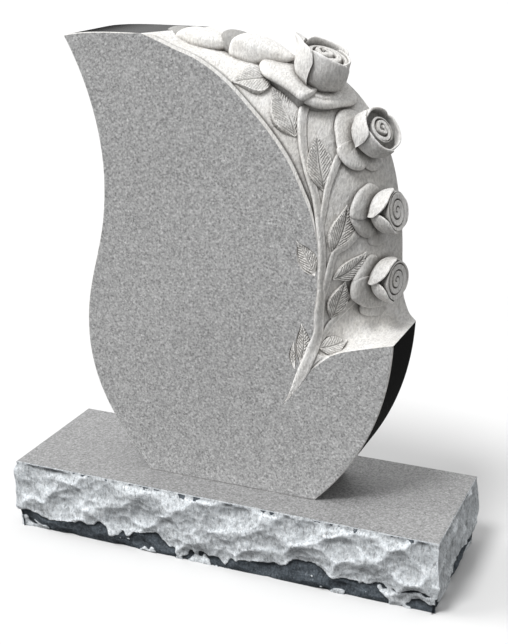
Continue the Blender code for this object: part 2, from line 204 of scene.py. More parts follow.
def band_edges(t):
    """The band's edge on the face, its rim, its swelling and the outward way on the face."""
    table = np.array([[*on_face, *rim, swell] for on_face, rim, swell in STATIONS])
    row = glide(table, t)
    edge = on_plane(row[..., :2], FRONT)
    rim = on_plane(row[..., 2:4], BACK)
    step = 0.01
    ahead, behind = glide(table, t + step), glide(table, t - step)
    along = on_plane(ahead[..., :2], FRONT) - on_plane(behind[..., :2], FRONT)
    out = unit(np.stack([-along[..., 2], 0 * along[..., 0], along[..., 0]], -1))
    return edge, rim, row[..., 4:5], out


def lip_share(t):
    """How much of the lip shows: none at the band's ends and beside the stems."""
    start = np.clip(t / LIP_FULL, 0, 1)
    middle = np.clip(1 - (t - LIP_FADES) / LIP_FADE_LENGTH, 0, 1)
    end = np.clip(LAST_STATION - t, 0, 1)
    return (start * middle * end)[..., None]


# The groove of the main stem runs down the face from between these two stations
TROUGH_START = 13.0
TROUGH_END = 14.5
TROUGH_DEPTH = 0.0045


def trough(share):
    """Depth of the stem's groove across its width."""
    return TROUGH_DEPTH * np.sin(math.pi * np.clip(share, 0, 1)) ** 0.7


def band(t, s):
    """Points and outward normals of the carved slope: t in stations, s from lip to rim."""
    t, s = np.broadcast_arrays(np.asarray(t, float), np.asarray(s, float))

    def ruled(t, s):
        edge, rim, swell, out = band_edges(t)
        share = lip_share(t)
        foot = edge + out * LIP_WIDTH * share + np.array([0, LIP_DROP + LIP_STEP, 0]) * share
        return foot + (rim - foot) * s[..., None], swell

    step = 0.001
    point, swell = ruled(t, s)
    along = ruled(t + step, s)[0] - ruled(t - step, s)[0]
    across = ruled(t, s + step)[0] - ruled(t, s - step)[0]
    normal = unit(np.cross(along, across))
    return point + normal * swell * (4 * s * (1 - s))[..., None], normal


def face(x, v, sink=0.0):
    """A place on the flat face or sunk behind it, as a point and a normal."""
    return on_plane((x, v), FRONT + sink), np.array([0.0, -1.0, 0.0])


# Noise for the surfaces that a mason leaves uneven


def lattice(cell, seed):
    """A repeatable number from 0 to 1 for each cell of a lattice."""
    mixed = (cell[..., 0] * 73856093) ^ (cell[..., 1] * 19349663) ^ (cell[..., 2] * 83492791)
    mixed = (mixed + seed * 2654435761) & 0xFFFFFFFF
    mixed = ((mixed ^ (mixed >> 15)) * 2246822519) & 0xFFFFFFFF
    mixed = ((mixed ^ (mixed >> 13)) * 3266489917) & 0xFFFFFFFF
    return ((mixed ^ (mixed >> 16)) & 0xFFFF) / 65535.0


def noise(points, size, seed):
    """Smooth noise from -1 to 1 whose lumps are about as wide as size."""
    place = np.asarray(points, float) / size
    cell = np.floor(place).astype(np.int64)
    f = place - cell
    f = f * f * (3 - 2 * f)
    total = 0.0
    for corner in np.ndindex(2, 2, 2):
        weight = 1.0
        for axis in range(3):
            weight = weight * (f[..., axis] if corner[axis] else 1 - f[..., axis])
        total = total + weight * lattice(cell + np.array(corner), seed)
    return 2 * total - 1


# Objects, and surfaces gathered into one mesh


def place_object(name, data):
    obj = bpy.data.objects.new(name, data)
    bpy.context.scene.collection.objects.link(obj)
    return obj


class Shape:
    """Points and faces of one object, gathered surface by surface."""

    def __init__(self):
        self.points, self.tones, self.faces, self.slots, self.count = [], [], [], [], 0

    def add(self, points, tone=1.0):
        """Points with their tone, which multiplies the colour: mostly painted shade below 1 in cuts
        and painted light above 1 on ridges, edges and tops.
        """
        tone = np.broadcast_to(tone, np.shape(points)[:-1]).reshape(-1)
        points = np.asarray(points, float).reshape(-1, 3)
        self.points.append(points)
        self.tones.append(tone)
        self.count += len(points)
        return np.arange(self.count - len(points), self.count)

    def grid(self, points, slot, way=None, wrap=False, tone=1.0):
        """A sheet over rows of points, its faces turned along way at its middle."""
        points = np.stack(points)
        rows, columns = points.shape[:2]
        index = self.add(points, tone).reshape(rows, columns)
        if wrap:
            index = np.concatenate([index, index[:, :1]], 1)
        quads = np.stack([index[:-1, :-1], index[:-1, 1:], index[1:, 1:], index[1:, :-1]], -1)
        quads = quads.reshape(-1, 4)
        if way is not None:
            r, c = (rows - 1) // 2, (columns - 1) // 2
            right, down = points[r, c + 1] - points[r, c], points[r + 1, c] - points[r, c]
            if np.cross(right, down) @ np.asarray(way, float) < 0:
                quads = quads[:, ::-1]
        self.faces += quads.tolist()
        self.slots += [slot] * len(quads)

    def fill(self, loops, slot, way):
        """A flat area inside the first loop of points and outside the others."""
        index = self.add(np.concatenate(loops))
        corners = np.concatenate(loops)
        triangles = tessellate_polygon([[tuple(p) for p in loop] for loop in loops])
        for a, b, c in triangles:
            normal = np.cross(corners[b] - corners[a], corners[c] - corners[a])
            order = (a, b, c) if normal @ np.asarray(way, float) > 0 else (a, c, b)
            self.faces.append([int(index[i]) for i in order])
            self.slots.append(slot)

    def build(self, name, materials, sharp_degrees):
        mesh = bpy.data.meshes.new(name)
        mesh.from_pydata(np.concatenate(self.points).tolist(), [], self.faces)
        for material in materials:
            mesh.materials.append(material)
        mesh.polygons.foreach_set("material_index", self.slots)
        tones = mesh.attributes.new("tone", "FLOAT", "POINT")
        tones.data.foreach_set("value", np.concatenate(self.tones))
        mesh.shade_smooth()
        mesh.set_sharp_from_angle(angle=math.radians(sharp_degrees))
        return place_object(name, mesh)


def inset(loop, distance):
    """The closed loop (x, z) moved inward by a distance for each point, with mitred corners."""
    before, after = np.roll(loop, 1, 0), np.roll(loop, -1, 0)
    first, second = unit(loop - before), unit(after - loop)
    side_a = np.stack([first[:, 1], -first[:, 0]], -1)
    side_b = np.stack([second[:, 1], -second[:, 0]], -1)
    middle = unit(side_a + side_b)
    stretch = 1 / np.clip((middle * side_a).sum(-1), 0.4, 1)
    return loop + middle * (distance * stretch)[:, None]


# The slab with its slope

# Steps of the grids, depth and width of the two kinds of unevenness, depth of the groove
# behind the lip, the painted light on the slope's top and ledge, the painted shade beside
# the middle roses, and the painted highlight on the lip and painted shade in its groove
OUTLINE_STEPS = 36
BAND_COLUMNS = 410
BAND_ROWS = 62
UNDULATION = (0.0008, 0.024)
TOOLING = (0.0007, 0.007)
GROOVE_DEPTH = 0.0026
LEDGE_PAINTED_LIGHT = 0.18
TOP_PAINTED_LIGHT = 0.20
SIDE_PAINTED_SHADE = 0.10
LIP_PAINTED_HIGHLIGHT = 1.1
LIP_SHADE = 0.4


def band_row(t, s):
    """One row of the slope with the mason's unevenness, deeper where the stem's groove meets it."""
    points, normals = band(t, s)
    inner = ease(0, 0.06, s) * ease(0, 0.05, 1 - s)
    inner = inner * (ease(0, 0.6, t) * ease(0, 0.6, LAST_STATION - t))
    rough = 0
    for seed, (deep, wide) in enumerate((UNDULATION, TOOLING), 1):
        rough = rough + deep * noise(points, wide, seed)
    points = points + normals * (rough * inner)[..., None]
    share = (t - TROUGH_START) / (TROUGH_END - TROUGH_START)
    points[..., 1] += trough(share) * (1 - s) ** 4
    return points


def slope_painted_light(t, rows, lip):
    """Painted light on the slope's top and its ledge, painted shade beside the middle roses and in
    the lip's groove.
    """
    level = np.linspace(0, 1, rows)[:, None]
    ledge = between(12.6, 13.6, 15.6, 16.8, t) * ease(0.75, 0.45, level)
    tone = 1 + LEDGE_PAINTED_LIGHT * ledge + TOP_PAINTED_LIGHT * ease(7.5, 4.5, t)
    tone = tone - SIDE_PAINTED_SHADE * between(6.5, 8.5, 12.0, 13.0, t)
    tone[0] -= LIP_SHADE * lip
    return tone


def slab(shape, pockets):
    """The tablet before its flowers. Pockets are the outlines sunk into the face."""
    left = chain(LEFT_SIDE, OUTLINE_STEPS)
    top = chain(TOP_SIDE, OUTLINE_STEPS)[1:]
    right = chain(RIGHT_SIDE, 2 * OUTLINE_STEPS)[1:]
    t = np.linspace(0, LAST_STATION, BAND_COLUMNS + 1)
    t = np.sort(np.append(t, [TROUGH_START, TROUGH_END]))
    edge, rim, _, out = band_edges(t)
    share = lip_share(t)
    drop = trough((t - TROUGH_START) / (TROUGH_END - TROUGH_START))
    edge[:, 1] += drop
    lip = edge + out * LIP_WIDTH * share + np.array([0, LIP_DROP, 0]) * share
    rows = [band_row(t, np.full(len(t), s)) for s in np.linspace(0, 1, BAND_ROWS + 1)]
    rows[-1] = rim
    rows[0] = rows[0] - band(t, np.zeros(len(t)))[1] * GROOVE_DEPTH * share
    outward = np.array([0.6, -0.6, 0.5])
    # Painted highlight on the lip, painted shade down into the groove behind it
    shape.grid([edge, lip], CARVED, outward, tone=LIP_PAINTED_HIGHLIGHT)
    shade = np.stack([1 - 0.1 * share[:, 0], 1 - LIP_SHADE * share[:, 0]])
    shape.grid([lip, rows[0]], CARVED, outward, tone=shade)
    # Painted light and shade over the slope
    tone = slope_painted_light(t, len(rows), share[:, 0])
    shape.grid(rows, CARVED, outward, tone=tone)

    def loops(plane, middle, arris, way):
        """The flat face's loop and the side's loop where the arris meets it."""
        square = [on_plane(part, plane) for part in (left, top, right)]
        outline = np.concatenate([*square[:2], middle, square[2]])
        free = np.ones(len(outline))
        start = len(left) + len(top)
        free[start : start + len(middle)] = 0
        flat = outline.copy()
        flat[:, [0, 2]] = inset(outline[:, [0, 2]], arris * free)
        side = outline.copy()
        side[:, 1] += way * arris * free
        return flat, side, start, start + len(middle)

    inside = (t > TROUGH_START) & (t < TROUGH_END)
    first, last = edge[t <= TROUGH_START], edge[t >= TROUGH_END]
    wedge_left, wedge_right = wedge_sides(first[-1], last[0])
    middle = np.concatenate([first, wedge_left[1:], wedge_right[-2:0:-1], last])
    flat, side, start, end = loops(FRONT, middle, ARRIS, 1)
    shape.fill([flat] + pockets, HONED, (0, -1, 0))
    wedge(shape, np.concatenate([first[-1:], edge[inside], last[:1]]), wedge_left, wedge_right)
    back_flat, back_side, back_start, back_end = loops(BACK, rim, ARRIS, -1)
    shape.fill([back_flat], POLISHED, (0, 1, 0))

    # Arrises and the square sides: from the shoulder round the foot to the top's flat
    def run(a, first_end, last_start):
        return np.concatenate([a[last_start:], a[:first_end]])

    front_run = [run(a, start, end) for a in (flat, side)]
    back_run = [run(a, back_start, back_end) for a in (back_side, back_flat)]
    for pair, slot in (
        (front_run, CARVED),
        (back_run, POLISHED),
        ([front_run[1], back_run[0]], POLISHED),
    ):
        way = pair[0][len(pair[0]) // 2] - pair[0].mean(0)
        shape.grid(pair, slot, way)

    # From the last square column to the slope's first and last columns
    columns = np.stack([edge, lip] + rows)
    for column, near, far, way in (
        (columns[:, 0], start - 1, back_start - 1, (0.2, 0, 1)),
        (columns[:, -1], end, back_end, (1, 0, 0)),
    ):
        gone = (column[:, 1] - FRONT) / TABLET_THICKNESS
        square = side[near] + (back_side[far] - side[near]) * gone[:, None]
        shape.grid([column, square], POLISHED, way)
        front_gap = [[flat[near], side[near]], [column[0], column[0]]]
        shape.grid(front_gap, CARVED, (0, -1, 0.3))
        back_gap = [[back_flat[far], back_side[far]], [column[-1], column[-1]]]
        shape.grid(back_gap, POLISHED, (0, 1, 0.3))


# Sides of the wedge that the main stem's groove cuts in the face, in metres: across and
# up from the tablet's foot
WEDGE_LEFT = [
    (0.1680, 0.3080),
    (0.1565, 0.2880),
    (0.1475, 0.2710),
    (0.1405, 0.2500),
    (0.1285, 0.2210),
]
WEDGE_TIP = (0.1155, 0.1936)
WEDGE_RIGHT = [
    (0.2000, 0.2985),
    (0.1865, 0.2865),
    (0.1730, 0.2730),
    (0.1600, 0.2530),
    (0.1470, 0.2325),
    (0.1310, 0.2115),
]
WEDGE_STEPS = 70
WEDGE_COLUMNS = 40
WEDGE_DEPTH = 0.0032
# Where the two fine grooves run across the wedge, and how deep each is as a share
WEDGE_GROOVES = [(0.07, 1.0), (0.86, 0.7)]
WEDGE_GROOVE_WIDTH = 0.07
# Painted shade in the fine grooves, as a share of their depth
WEDGE_SHADE = 0.45


def wedge_sides(top_left, top_right):
    """Both sides of the wedge from its top to its tip, in equal numbers of steps."""
    sides = []
    for top, marks in ((top_left, WEDGE_LEFT), (top_right, WEDGE_RIGHT)):
        points = [(x, FRONT, z + TABLET_FOOT) for x, z in marks + [WEDGE_TIP]]
        sides.append(evenly([top, *points], WEDGE_STEPS + 1))
        sides[-1][:, 1] = FRONT
    return sides


def wedge(shape, top, left, right):
    """The groove from the foot of the slope down to its tip."""
    w = np.linspace(0, 1, WEDGE_COLUMNS + 1)
    u = np.linspace(0, 1, WEDGE_STEPS + 1)
    points = left[:, None] * (1 - w[None, :, None]) + right[:, None] * w[None, :, None]
    along_top = np.linspace(0, len(top) - 1, WEDGE_COLUMNS + 1)
    top = np.stack([np.interp(along_top, np.arange(len(top)), top[:, i]) for i in range(3)], -1)
    fade = (1 - ease(0, 0.12, u))[:, None]
    points[..., [0, 2]] += (top - points[0])[None, :, [0, 2]] * fade[..., None]
    grooves = sum(
        deep * np.exp(-(((w - at) / WEDGE_GROOVE_WIDTH) ** 2)) for at, deep in WEDGE_GROOVES
    )
    grooves = np.where((w == 0) | (w == 1), 0, grooves)
    low = ease(0.0, 0.3, u)[:, None]
    depth = trough(w) * (1 - low) + WEDGE_DEPTH * (grooves + 0.12) * low
    rough = 0.0006 * noise(points, 0.009, 51) * np.sin(math.pi * w)
    points[..., 1] = FRONT + depth * ((1 - u) ** 0.4)[:, None] + rough
    points[:, [0, -1], 1] = FRONT
    points[0, :, 1] = FRONT + trough(w)
    # Painted shade in the fine grooves
    shape.grid(points, CARVED, (0, -1, 0), tone=1 - WEDGE_SHADE * (grooves * low))


# Stems

# The marks of each stem: a place with its normal, and the stem's width and height there as
# shares of its radius
TRUNK = [
    (face(181, 226, 0.0010), 0.10, 0.30),
    (face(191, 240, 0.0008), 0.28, 0.30),
    (face(204, 257, 0.0010), 0.52, 0.32),
    (face(220, 281, 0.0012), 0.84, 0.34),
    (face(238, 310, 0.0014), 1.08, 0.40),
    (face(256, 345, 0.0022), 1.10, 0.50),
    (band(12.6, 0.05), 1.00, 0.65),
    (band(11.9, 0.04), 0.95, 0.70),
    (band(11.2, 0.04), 0.85, 0.70),
    (band(10.7, 0.03), 0.60, 0.50),
]
LEFT_STEM = [
    (band(11.6, 0.03), 0.60, 0.70),
    (band(10.7, 0.03), 0.95, 0.80),
    (band(10.0, 0.035), 1.00, 0.80),
    (band(9.3, 0.035), 1.00, 0.80),
    (band(8.4, 0.05), 1.00, 0.85),
    (band(7.5, 0.085), 1.05, 0.90),
    (band(6.8, 0.16), 1.05, 0.95),
    (band(6.2, 0.30), 1.10, 1.00),
    (band(5.9, 0.44), 1.15, 1.00),
]
SECOND_STEM = [
    (band(9.8, 0.03), 0.60, 0.60),
    (band(9.2, 0.06), 0.95, 0.80),
    (band(8.8, 0.11), 1.00, 0.90),
    (band(8.3, 0.20), 1.10, 1.00),
    (band(8.0, 0.31), 1.20, 1.00),
    (band(7.8, 0.42), 1.25, 1.00),
    (band(7.8, 0.56), 1.30, 1.00),
]
THIRD_STEM = [
    (band(11.6, 0.05), 0.60, 0.50),
    (band(10.8, 0.09), 1.00, 0.65),
    (band(10.4, 0.12), 0.95, 0.65),
    (band(10.1, 0.17), 0.90, 0.65),
    (band(10.0, 0.30), 0.90, 0.65),
    (band(9.8, 0.43), 1.00, 0.65),
]
FOURTH_STEM = [
    (band(13.2, 0.04), 0.60, 0.50),
    (band(12.6, 0.16), 0.90, 0.65),
    (band(12.4, 0.25), 0.90, 0.65),
    (band(12.2, 0.35), 0.90, 0.65),
    (band(11.9, 0.47), 1.10, 0.65),
]
STEMS = [
    (TRUNK, TRUNK_RADIUS),
    (LEFT_STEM, STEM_RADIUS),
    (SECOND_STEM, TWIG_RADIUS),
    (THIRD_STEM, STEM_RADIUS),
    (FOURTH_STEM, STEM_RADIUS),
]
# Depth of the hollow along a stem as a share of its height, its width, and the painted shade
# of the flanks with the painted light that the top adds and the painted shade of the hollow
STEM_HOLLOW = 0.20
STEM_HOLLOW_WIDTH = 0.45
STEM_FLANK_PAINTED_SHADE = 0.46
STEM_TOP_PAINTED_LIGHT = 0.72
STEM_HOLLOW_PAINTED_SHADE = 0.42
STEM_SIDES = 15
STEM_STEP = 0.003


def spread(places, steps):
    """Points and normals of a smooth run through places, in equal steps."""
    points, normals = zip(*places)
    return evenly(points, steps), unit(evenly(normals, steps))


def sideways(points, normals):
    along = unit(np.gradient(points, axis=0))
    return unit(np.cross(along, normals))


def sections(points, side, normals, wide, high):
    """A grid of points: wide to the side of each point of a line and high above it."""
    return points[:, None] + wide[..., None] * side[:, None] + high[..., None] * normals[:, None]


def boxy(x, power):
    """A cosine or sine with its flanks filled out, the more the lower the power."""
    return np.sign(x) * np.abs(x) ** power


def stem(shape, marks, radius):
    """A stem half sunk in the stone, with raised edges and a shallow hollow between them."""
    places = [place for place, _, _ in marks]
    legs = np.diff([point for point, _ in places], axis=0)
    steps = int(np.linalg.norm(legs, axis=1).sum() / STEM_STEP)
    points, normals = spread(places, steps)
    share, high = evenly([size for _, *size in marks], steps).T
    side = sideways(points, normals)
    angle = np.linspace(-0.35, math.pi + 0.35, STEM_SIDES)
    furrow = 1 + 0.05 * np.sin(5 * angle) + 0.03 * noise(points, 0.02, 5)[:, None]
    reach = radius * share[:, None] * furrow
    hollow = np.exp(-((np.cos(angle) / STEM_HOLLOW_WIDTH) ** 2))
    wide = reach * boxy(np.cos(angle), 0.6)
    tall = reach * (boxy(np.sin(angle), 0.75) * (1 - STEM_HOLLOW * hollow)) * high[:, None]
    # Painted light along the stem's top, painted shade on its flanks and in its hollow
    tone = STEM_FLANK_PAINTED_SHADE + STEM_TOP_PAINTED_LIGHT * ease(-0.1, 0.6, np.sin(angle))
    tone = tone - STEM_HOLLOW_PAINTED_SHADE * hollow
    grid = sections(points, side, normals, wide, tall)
    tone = tone + 0.06 * noise(grid, 0.004, 52)
    shape.grid(grid, CARVED, normals[steps // 2], tone=tone)


# Leaves

# Base, tip, width, sideways bow and how deep the veins are cut, which the leaves on the face
# have in full
LEAVES = [
    (band(13.35, 0.05), band(14.05, 0.31), 0.036, 0.003, 0.8),
    (band(8.35, 0.15), band(6.85, 0.33), 0.050, -0.004, 1.0),
    (band(6.5, 0.14), band(4.8, 0.30), 0.064, 0.004, 1.0),
    (band(4.6, 0.40), band(4.1, 0.00), 0.056, 0.000, 0.7),
    (band(10.1, 0.13), band(9.1, 0.35), 0.050, 0.005, 1.0),
    (band(10.8, 0.15), band(10.35, 0.52), 0.036, 0.006, 1.0),
    (band(12.3, 0.20), band(10.95, 0.29), 0.042, -0.002, 1.0),
]
FACE_LEAVES = [
    (face(225, 322), face(226, 412), 0.030, 0.0055),
    (face(207, 304), face(205, 371), 0.0126, -0.0035),
    (face(264, 520), face(209, 591), 0.036, 0.0020),
]
LEAF_SHARES = [0.05, 0.42, 0.74, 0.93, 1.0, 0.97, 0.86, 0.68, 0.45, 0.22, 0.03]
VEIN_PITCH = 0.0066
VEIN_SLANT = 1.15
VEIN_DEPTH = 0.0022
MIDRIB_DEPTH = 0.0026
MIDRIB_WIDTH = 0.0014
LEAF_STEP = 0.0011
LEAF_COLUMNS = 31
# How far a leaf's side wall stands out from its edge, and its painted light and shade:
# painted highlights on the ridges between veins and on the edge, painted shade in the veins
# and on the side wall
LEAF_BORDER = 1.04
VEIN_RIDGE_PAINTED_HIGHLIGHT = 1.17
VEIN_SHADE = 0.46
LEAF_EDGE_PAINTED_HIGHLIGHT = 0.08
LEAF_SIDE_PAINTED_SHADE = 0.45


def leaf_frame(base, tip, width, bow, border):
    """A leaf's rows, with centre, normal, way aside, half width and share of the length gone,
    and its columns out to a border beside it."""
    length = np.linalg.norm(tip[0] - base[0])
    steps = int(length / LEAF_STEP)
    u = np.linspace(0, 1, steps)
    points, normals = spread([base, tip], steps)
    side = sideways(points, normals)
    points = points + side * (bow * np.sin(math.pi * u))[:, None]
    half = width / 2 * glide(np.array(LEAF_SHARES)[:, None], u * (len(LEAF_SHARES) - 1))[:, 0]
    v = np.concatenate([[-border], np.linspace(-1, 1, LEAF_COLUMNS), [border]])
    return points, normals, side, half, u, v, length


def veins(u, v, half, length):
    """How deep the midrib and the slanting veins are cut, for rows u and columns v."""
    along = u[:, None] * length - np.abs(v) * half[:, None] * VEIN_SLANT
    along = along + 0.0011 * np.sin(along * 417 + 2.1 * v) * np.sin(9 * v)
    part = (along / VEIN_PITCH) % 1.0
    groove = 1 - ease(0.0, 0.75, part) + ease(0.88, 1.0, part)
    room = ease(0.05, 0.2, np.abs(v)) * (1 - ease(0.9, 1.0, np.abs(v)))
    size = ease(0.002, 0.008, half)[:, None]
    rib = MIDRIB_DEPTH * np.exp(-((v * half[:, None] / MIDRIB_WIDTH) ** 2))
    return (VEIN_DEPTH * groove * room + rib) * size


def vein_painted_shading(cut):
    """Painted light and shade over a leaf: painted highlights on the ridges, painted shade in the
    cuts.
    """
    return VEIN_RIDGE_PAINTED_HIGHLIGHT - VEIN_SHADE * np.clip(cut / VEIN_DEPTH, 0, 1.2)


def leaf(shape, base, tip, width, bow, veined):
    """A leaf standing on the slope, its halves folded up from the midrib."""
    frame = leaf_frame(base, tip, width, bow, LEAF_BORDER)
    points, normals, side, half, u, v, length = frame
    fold = 0.80 + 0.42 * np.abs(v) - 0.34 * np.abs(v) ** 4
    full = 0.35 + 0.65 * ease(0, 0.25, u) * ease(0, 0.3, 1 - u)
    high = LEAF_THICKNESS * fold * full[:, None]
    cut = veins(u, v, half, length) * veined
    high = high - cut
    high[:, [0, -1]] = -LEAF_THICKNESS
    # Painted shade in the veins and on the side walls, painted highlights on the ridges and edges
    tone = vein_painted_shading(cut) + LEAF_EDGE_PAINTED_HIGHLIGHT * ease(0.80, 0.95, np.abs(v))
    tone[:, [0, -1]] = LEAF_SIDE_PAINTED_SHADE
    saw = ((u * length / VEIN_PITCH) % 1.0 - 0.5) * 0.05
    wide = half[:, None] * v * (1 + saw[:, None] * ease(0.7, 1.0, np.abs(v)))
    grid = sections(points, side, normals, wide, high)
    shape.grid(grid, CARVED, normals[len(u) // 2], tone=tone)


POCKET_WIDTH = 1.14
POCKET_DEPTH = 0.0030
POCKET_SHADE = 0.22
FACE_LEAF_SINK = 0.0004


def face_leaf(shape, base, tip, width, bow):
    """A leaf sunk in the flat face inside a groove. Returns the groove's outline."""
    frame = leaf_frame(base, tip, width, bow, POCKET_WIDTH)
    points, normals, side, half, u, v, length = frame
    away = np.abs(v)
    sunk = POCKET_DEPTH * ease(0.80, 1.0, away) * (away < POCKET_WIDTH)
    sunk = sunk + FACE_LEAF_SINK * (away < 0.9)
    cut = veins(u, v, half, length) * (away < 0.95)
    depth = sunk + cut
    # Painted highlights on the vein ridges, painted shade in the groove round the leaf
    tone = vein_painted_shading(0.8 * cut) - POCKET_SHADE * ease(0.88, 1.0, away)
    depth = depth * (ease(0, 0.06, u) * ease(0, 0.06, 1 - u))[:, None]
    wide = half[:, None] * v
    grid = sections(points, side, normals, wide, -depth)
    shape.grid(grid, CARVED, (0, -1, 0), tone=tone)
    return np.concatenate([grid[:, 0], grid[::-1, -1]])


# Roses

# Where the head's axis leaves the slope, the way it faces, its length, its radius and a factor
# on its open petals' colour: painted light on the top rose's, painted shade on the middle and
# lower ones'
ROSES = {
    "top": (band(5.69, 0.63), (0.36, 0.06, 0.93), 0.077, 0.050, 1.10),
    "upper": (band(7.89, 0.72), (0.80, -0.26, 0.54), 0.057, 0.045, 1.0),
    "middle": (band(9.55, 0.64), (0.97, -0.17, 0.17), 0.051, 0.041, 0.84),
    "lower": (band(11.23, 0.65), (0.97, -0.23, 0.02), 0.049, 0.041, 0.84),
}

# Petals round each head: middle and half span in degrees, top as a share of the length,
# reach at the rim as a share of the radius, how far the corners drop and the outward curl.
# Some add how much the rim climbs from one corner to the other, and the height in metres and
# the place of a point on the rim
CUPS = {
    "top": [
        (118, 60, 0.885, 1.00, 0.12, -0.02, -0.06),
        (24, 62, 0.96, 1.08, 0.30, -0.01, 0.0, 0.005, -0.34),
        (212, 64, 0.93, 0.97, 0.12, -0.08, 0.09),
        (292, 66, 1.07, 1.00, 0.18, -0.06),
    ],
    "upper": [
        (125, 60, 0.98, 0.99, 0.20, -0.02),
        (52, 42, 1.00, 1.08, 0.34, -0.02),
        (350, 62, 1.02, 1.00, 0.25, -0.06),
        (235, 70, 1.02, 0.98, 0.25, -0.05),
    ],
    "middle": [
        (30, 60, 0.97, 1.02, 0.55, 0.02),
        (138, 60, 0.97, 1.00, 0.55, 0.02),
        (255, 70, 0.97, 1.00, 0.45, 0.02),
    ],
    "lower": [
        (30, 62, 0.97, 1.02, 0.55, 0.02),
        (140, 60, 0.97, 1.00, 0.55, 0.02),
        (258, 70, 0.97, 1.00, 0.45, 0.02),
    ],
}

# Open petals under each head, the upper ones first: the petal's height, how far its edge
# turns down and how far it sags towards its edge, in metres, and its outline in degrees and
# millimetres round the head, some marks with a lift in millimetres
COLLARS = {
    "top": [
        (0.022, 0.010, 0.003, [
            (-56, 50, -2), (-40, 80, -5), (-22, 97, -8), (-4, 106, -9), (10, 110, -8),
            (23, 106, -5), (33, 98, -3), (43, 82), (57, 68), (77, 60), (94, 60), (106, 46),
            (122, 26),
        ]),
        (0.016, 0.005, 0.002, [
            (98, 28), (112, 38), (138, 41), (165, 46), (186, 52), (202, 52), (214, 32),
        ]),
        (0.011, 0.009, 0.002, [
            (60, 26), (80, 38), (99, 50), (119, 52), (134, 52), (148, 53), (166, 57), (183, 63),
            (196, 75), (206, 84), (217, 84), (226, 80), (243, 72), (254, 40),
        ]),
        (0.006, 0.006, 0.008, [
            (210, 40), (224, 76), (236, 89), (246, 90), (258, 80), (270, 50),
        ]),
        (0.006, 0.005, 0.004, [
            (262, 30), (275, 56), (295, 60), (315, 50), (330, 34),
        ]),
    ],
    "upper": [
        (0.009, 0.005, 0.005, [
            (-42, 40), (-20, 61), (0, 69), (12, 71), (30, 65), (54, 59), (70, 59), (82, 58),
            (90, 48), (97, 32),
        ]),
        (0.010, 0.007, 0.002, [
            (66, 32), (76, 57), (83, 63), (97, 64), (111, 64), (124, 62), (138, 58), (150, 52),
            (162, 34),
        ]),
        (0.007, 0.006, 0.003, [
            (138, 28), (152, 46), (168, 56), (188, 60), (206, 54), (218, 34),
        ]),
        (0.005, 0.005, 0.003, [
            (208, 30), (225, 48), (250, 56), (280, 54), (305, 44), (325, 30),
        ]),
    ],
    "middle": [
        (0.009, 0.006, 0.002, [
            (-34, 30), (-18, 48), (4, 56), (20, 56), (36, 58), (57, 61), (74, 64), (85, 63),
            (94, 52), (100, 34),
        ]),
        (0.006, 0.006, 0.002, [
            (70, 32), (80, 57), (90, 61), (107, 57), (124, 55), (146, 51), (164, 45), (176, 28),
        ]),
        (0.002, 0.006, 0.002, [
            (146, 30), (158, 57), (172, 64), (186, 69), (204, 75), (220, 60), (230, 34),
        ]),
        (0.004, 0.005, 0.002, [
            (225, 32), (245, 52), (275, 56), (305, 50), (328, 32),
        ]),
    ],
    "lower": [
        (0.009, 0.006, 0.002, [
            (-8, 30), (6, 46), (21, 51), (43, 51), (60, 51), (76, 56), (86, 59), (95, 50),
            (102, 32),
        ]),
        (0.011, 0.008, 0.002, [
            (72, 32), (82, 55), (92, 62), (104, 67), (116, 70), (128, 65), (142, 62), (160, 61),
            (178, 61), (194, 65), (206, 68), (216, 52), (224, 30),
        ]),
        (0.001, 0.006, 0.000, [
            (142, 34), (152, 70), (164, 76), (178, 80), (194, 88), (208, 95), (220, 80),
            (230, 40),
        ]),
        (0.004, 0.005, 0.002, [
            (225, 32), (245, 52), (275, 56), (305, 50), (340, 32),
        ]),
    ],
}

# The coils in each head: turns, depth of the groove, its half width as a share of the pitch,
# waviness, dish, height and radius of the core as shares of the head's, its slant to the
# front, and how far its middle lies aside and to the front, in metres
SPIRALS = {
    "top": (2.6, 0.0085, 0.27, 0.20, -0.008, 0.83, 0.84, 0.22, 0.010, -0.008),
    "upper": (2.1, 0.0085, 0.27, 0.20, -0.004, 0.93, 0.57, 0.05, 0.001, 0.0),
    "middle": (2.7, 0.0055, 0.15, 0.05, 0.001, 1.00, 0.91, 0.0, 0.0, 0.0),
    "lower": (2.9, 0.0055, 0.15, 0.05, 0.001, 1.00, 0.91, 0.0, 0.0, 0.0),
}
CORE_SIDES = 84
CORE_RINGS = 46
# Reach and height up the wall of the core, as shares of its rim's
CORE_WALL = [(0.60, 0.1), (0.74, 0.4), (0.84, 0.7), (0.91, 0.86), (0.98, 0.95), (0.995, 0.985)]
# How much each coil leans, as a share of its groove's depth
CORE_LEAN = 0.30
# Painted light on the coils' tops, painted shade in their grooves and on the core's wall
CORE_PAINTED_LIGHT = 1.05
CORE_SHADE = 0.5
CORE_WALL_PAINTED_SHADE = 0.7
PETAL_COLUMNS = 30
PETAL_THICKNESS = 0.0042
# Painted light and shade of a petal: painted shade at its root, the tone of its outer side,
# painted highlights on its rim and edge, and the tones down its inner side, from a highlight
# into painted shade
PETAL_ROOT_PAINTED_SHADE = 0.55
PETAL_TONE = 0.97
PETAL_RIM_PAINTED_HIGHLIGHT = 1.12
PETAL_EDGE_PAINTED_HIGHLIGHT = 1.18
PETAL_INNER = [(1.0, 1.1), (0.93, 0.85), (0.84, 0.70), (0.70, 0.55)]
# How far a point on a rim leans out, for each metre that it stands up
POINT_CURL = 4.0
# Height and reach up a petal, as shares of its rim's
BOWL = [
    (-0.25, 0.28), (0.02, 0.46), (0.12, 0.64), (0.25, 0.81), (0.42, 0.93), (0.65, 1.0),
    (0.85, 1.01), (1.0, 1.0),
]


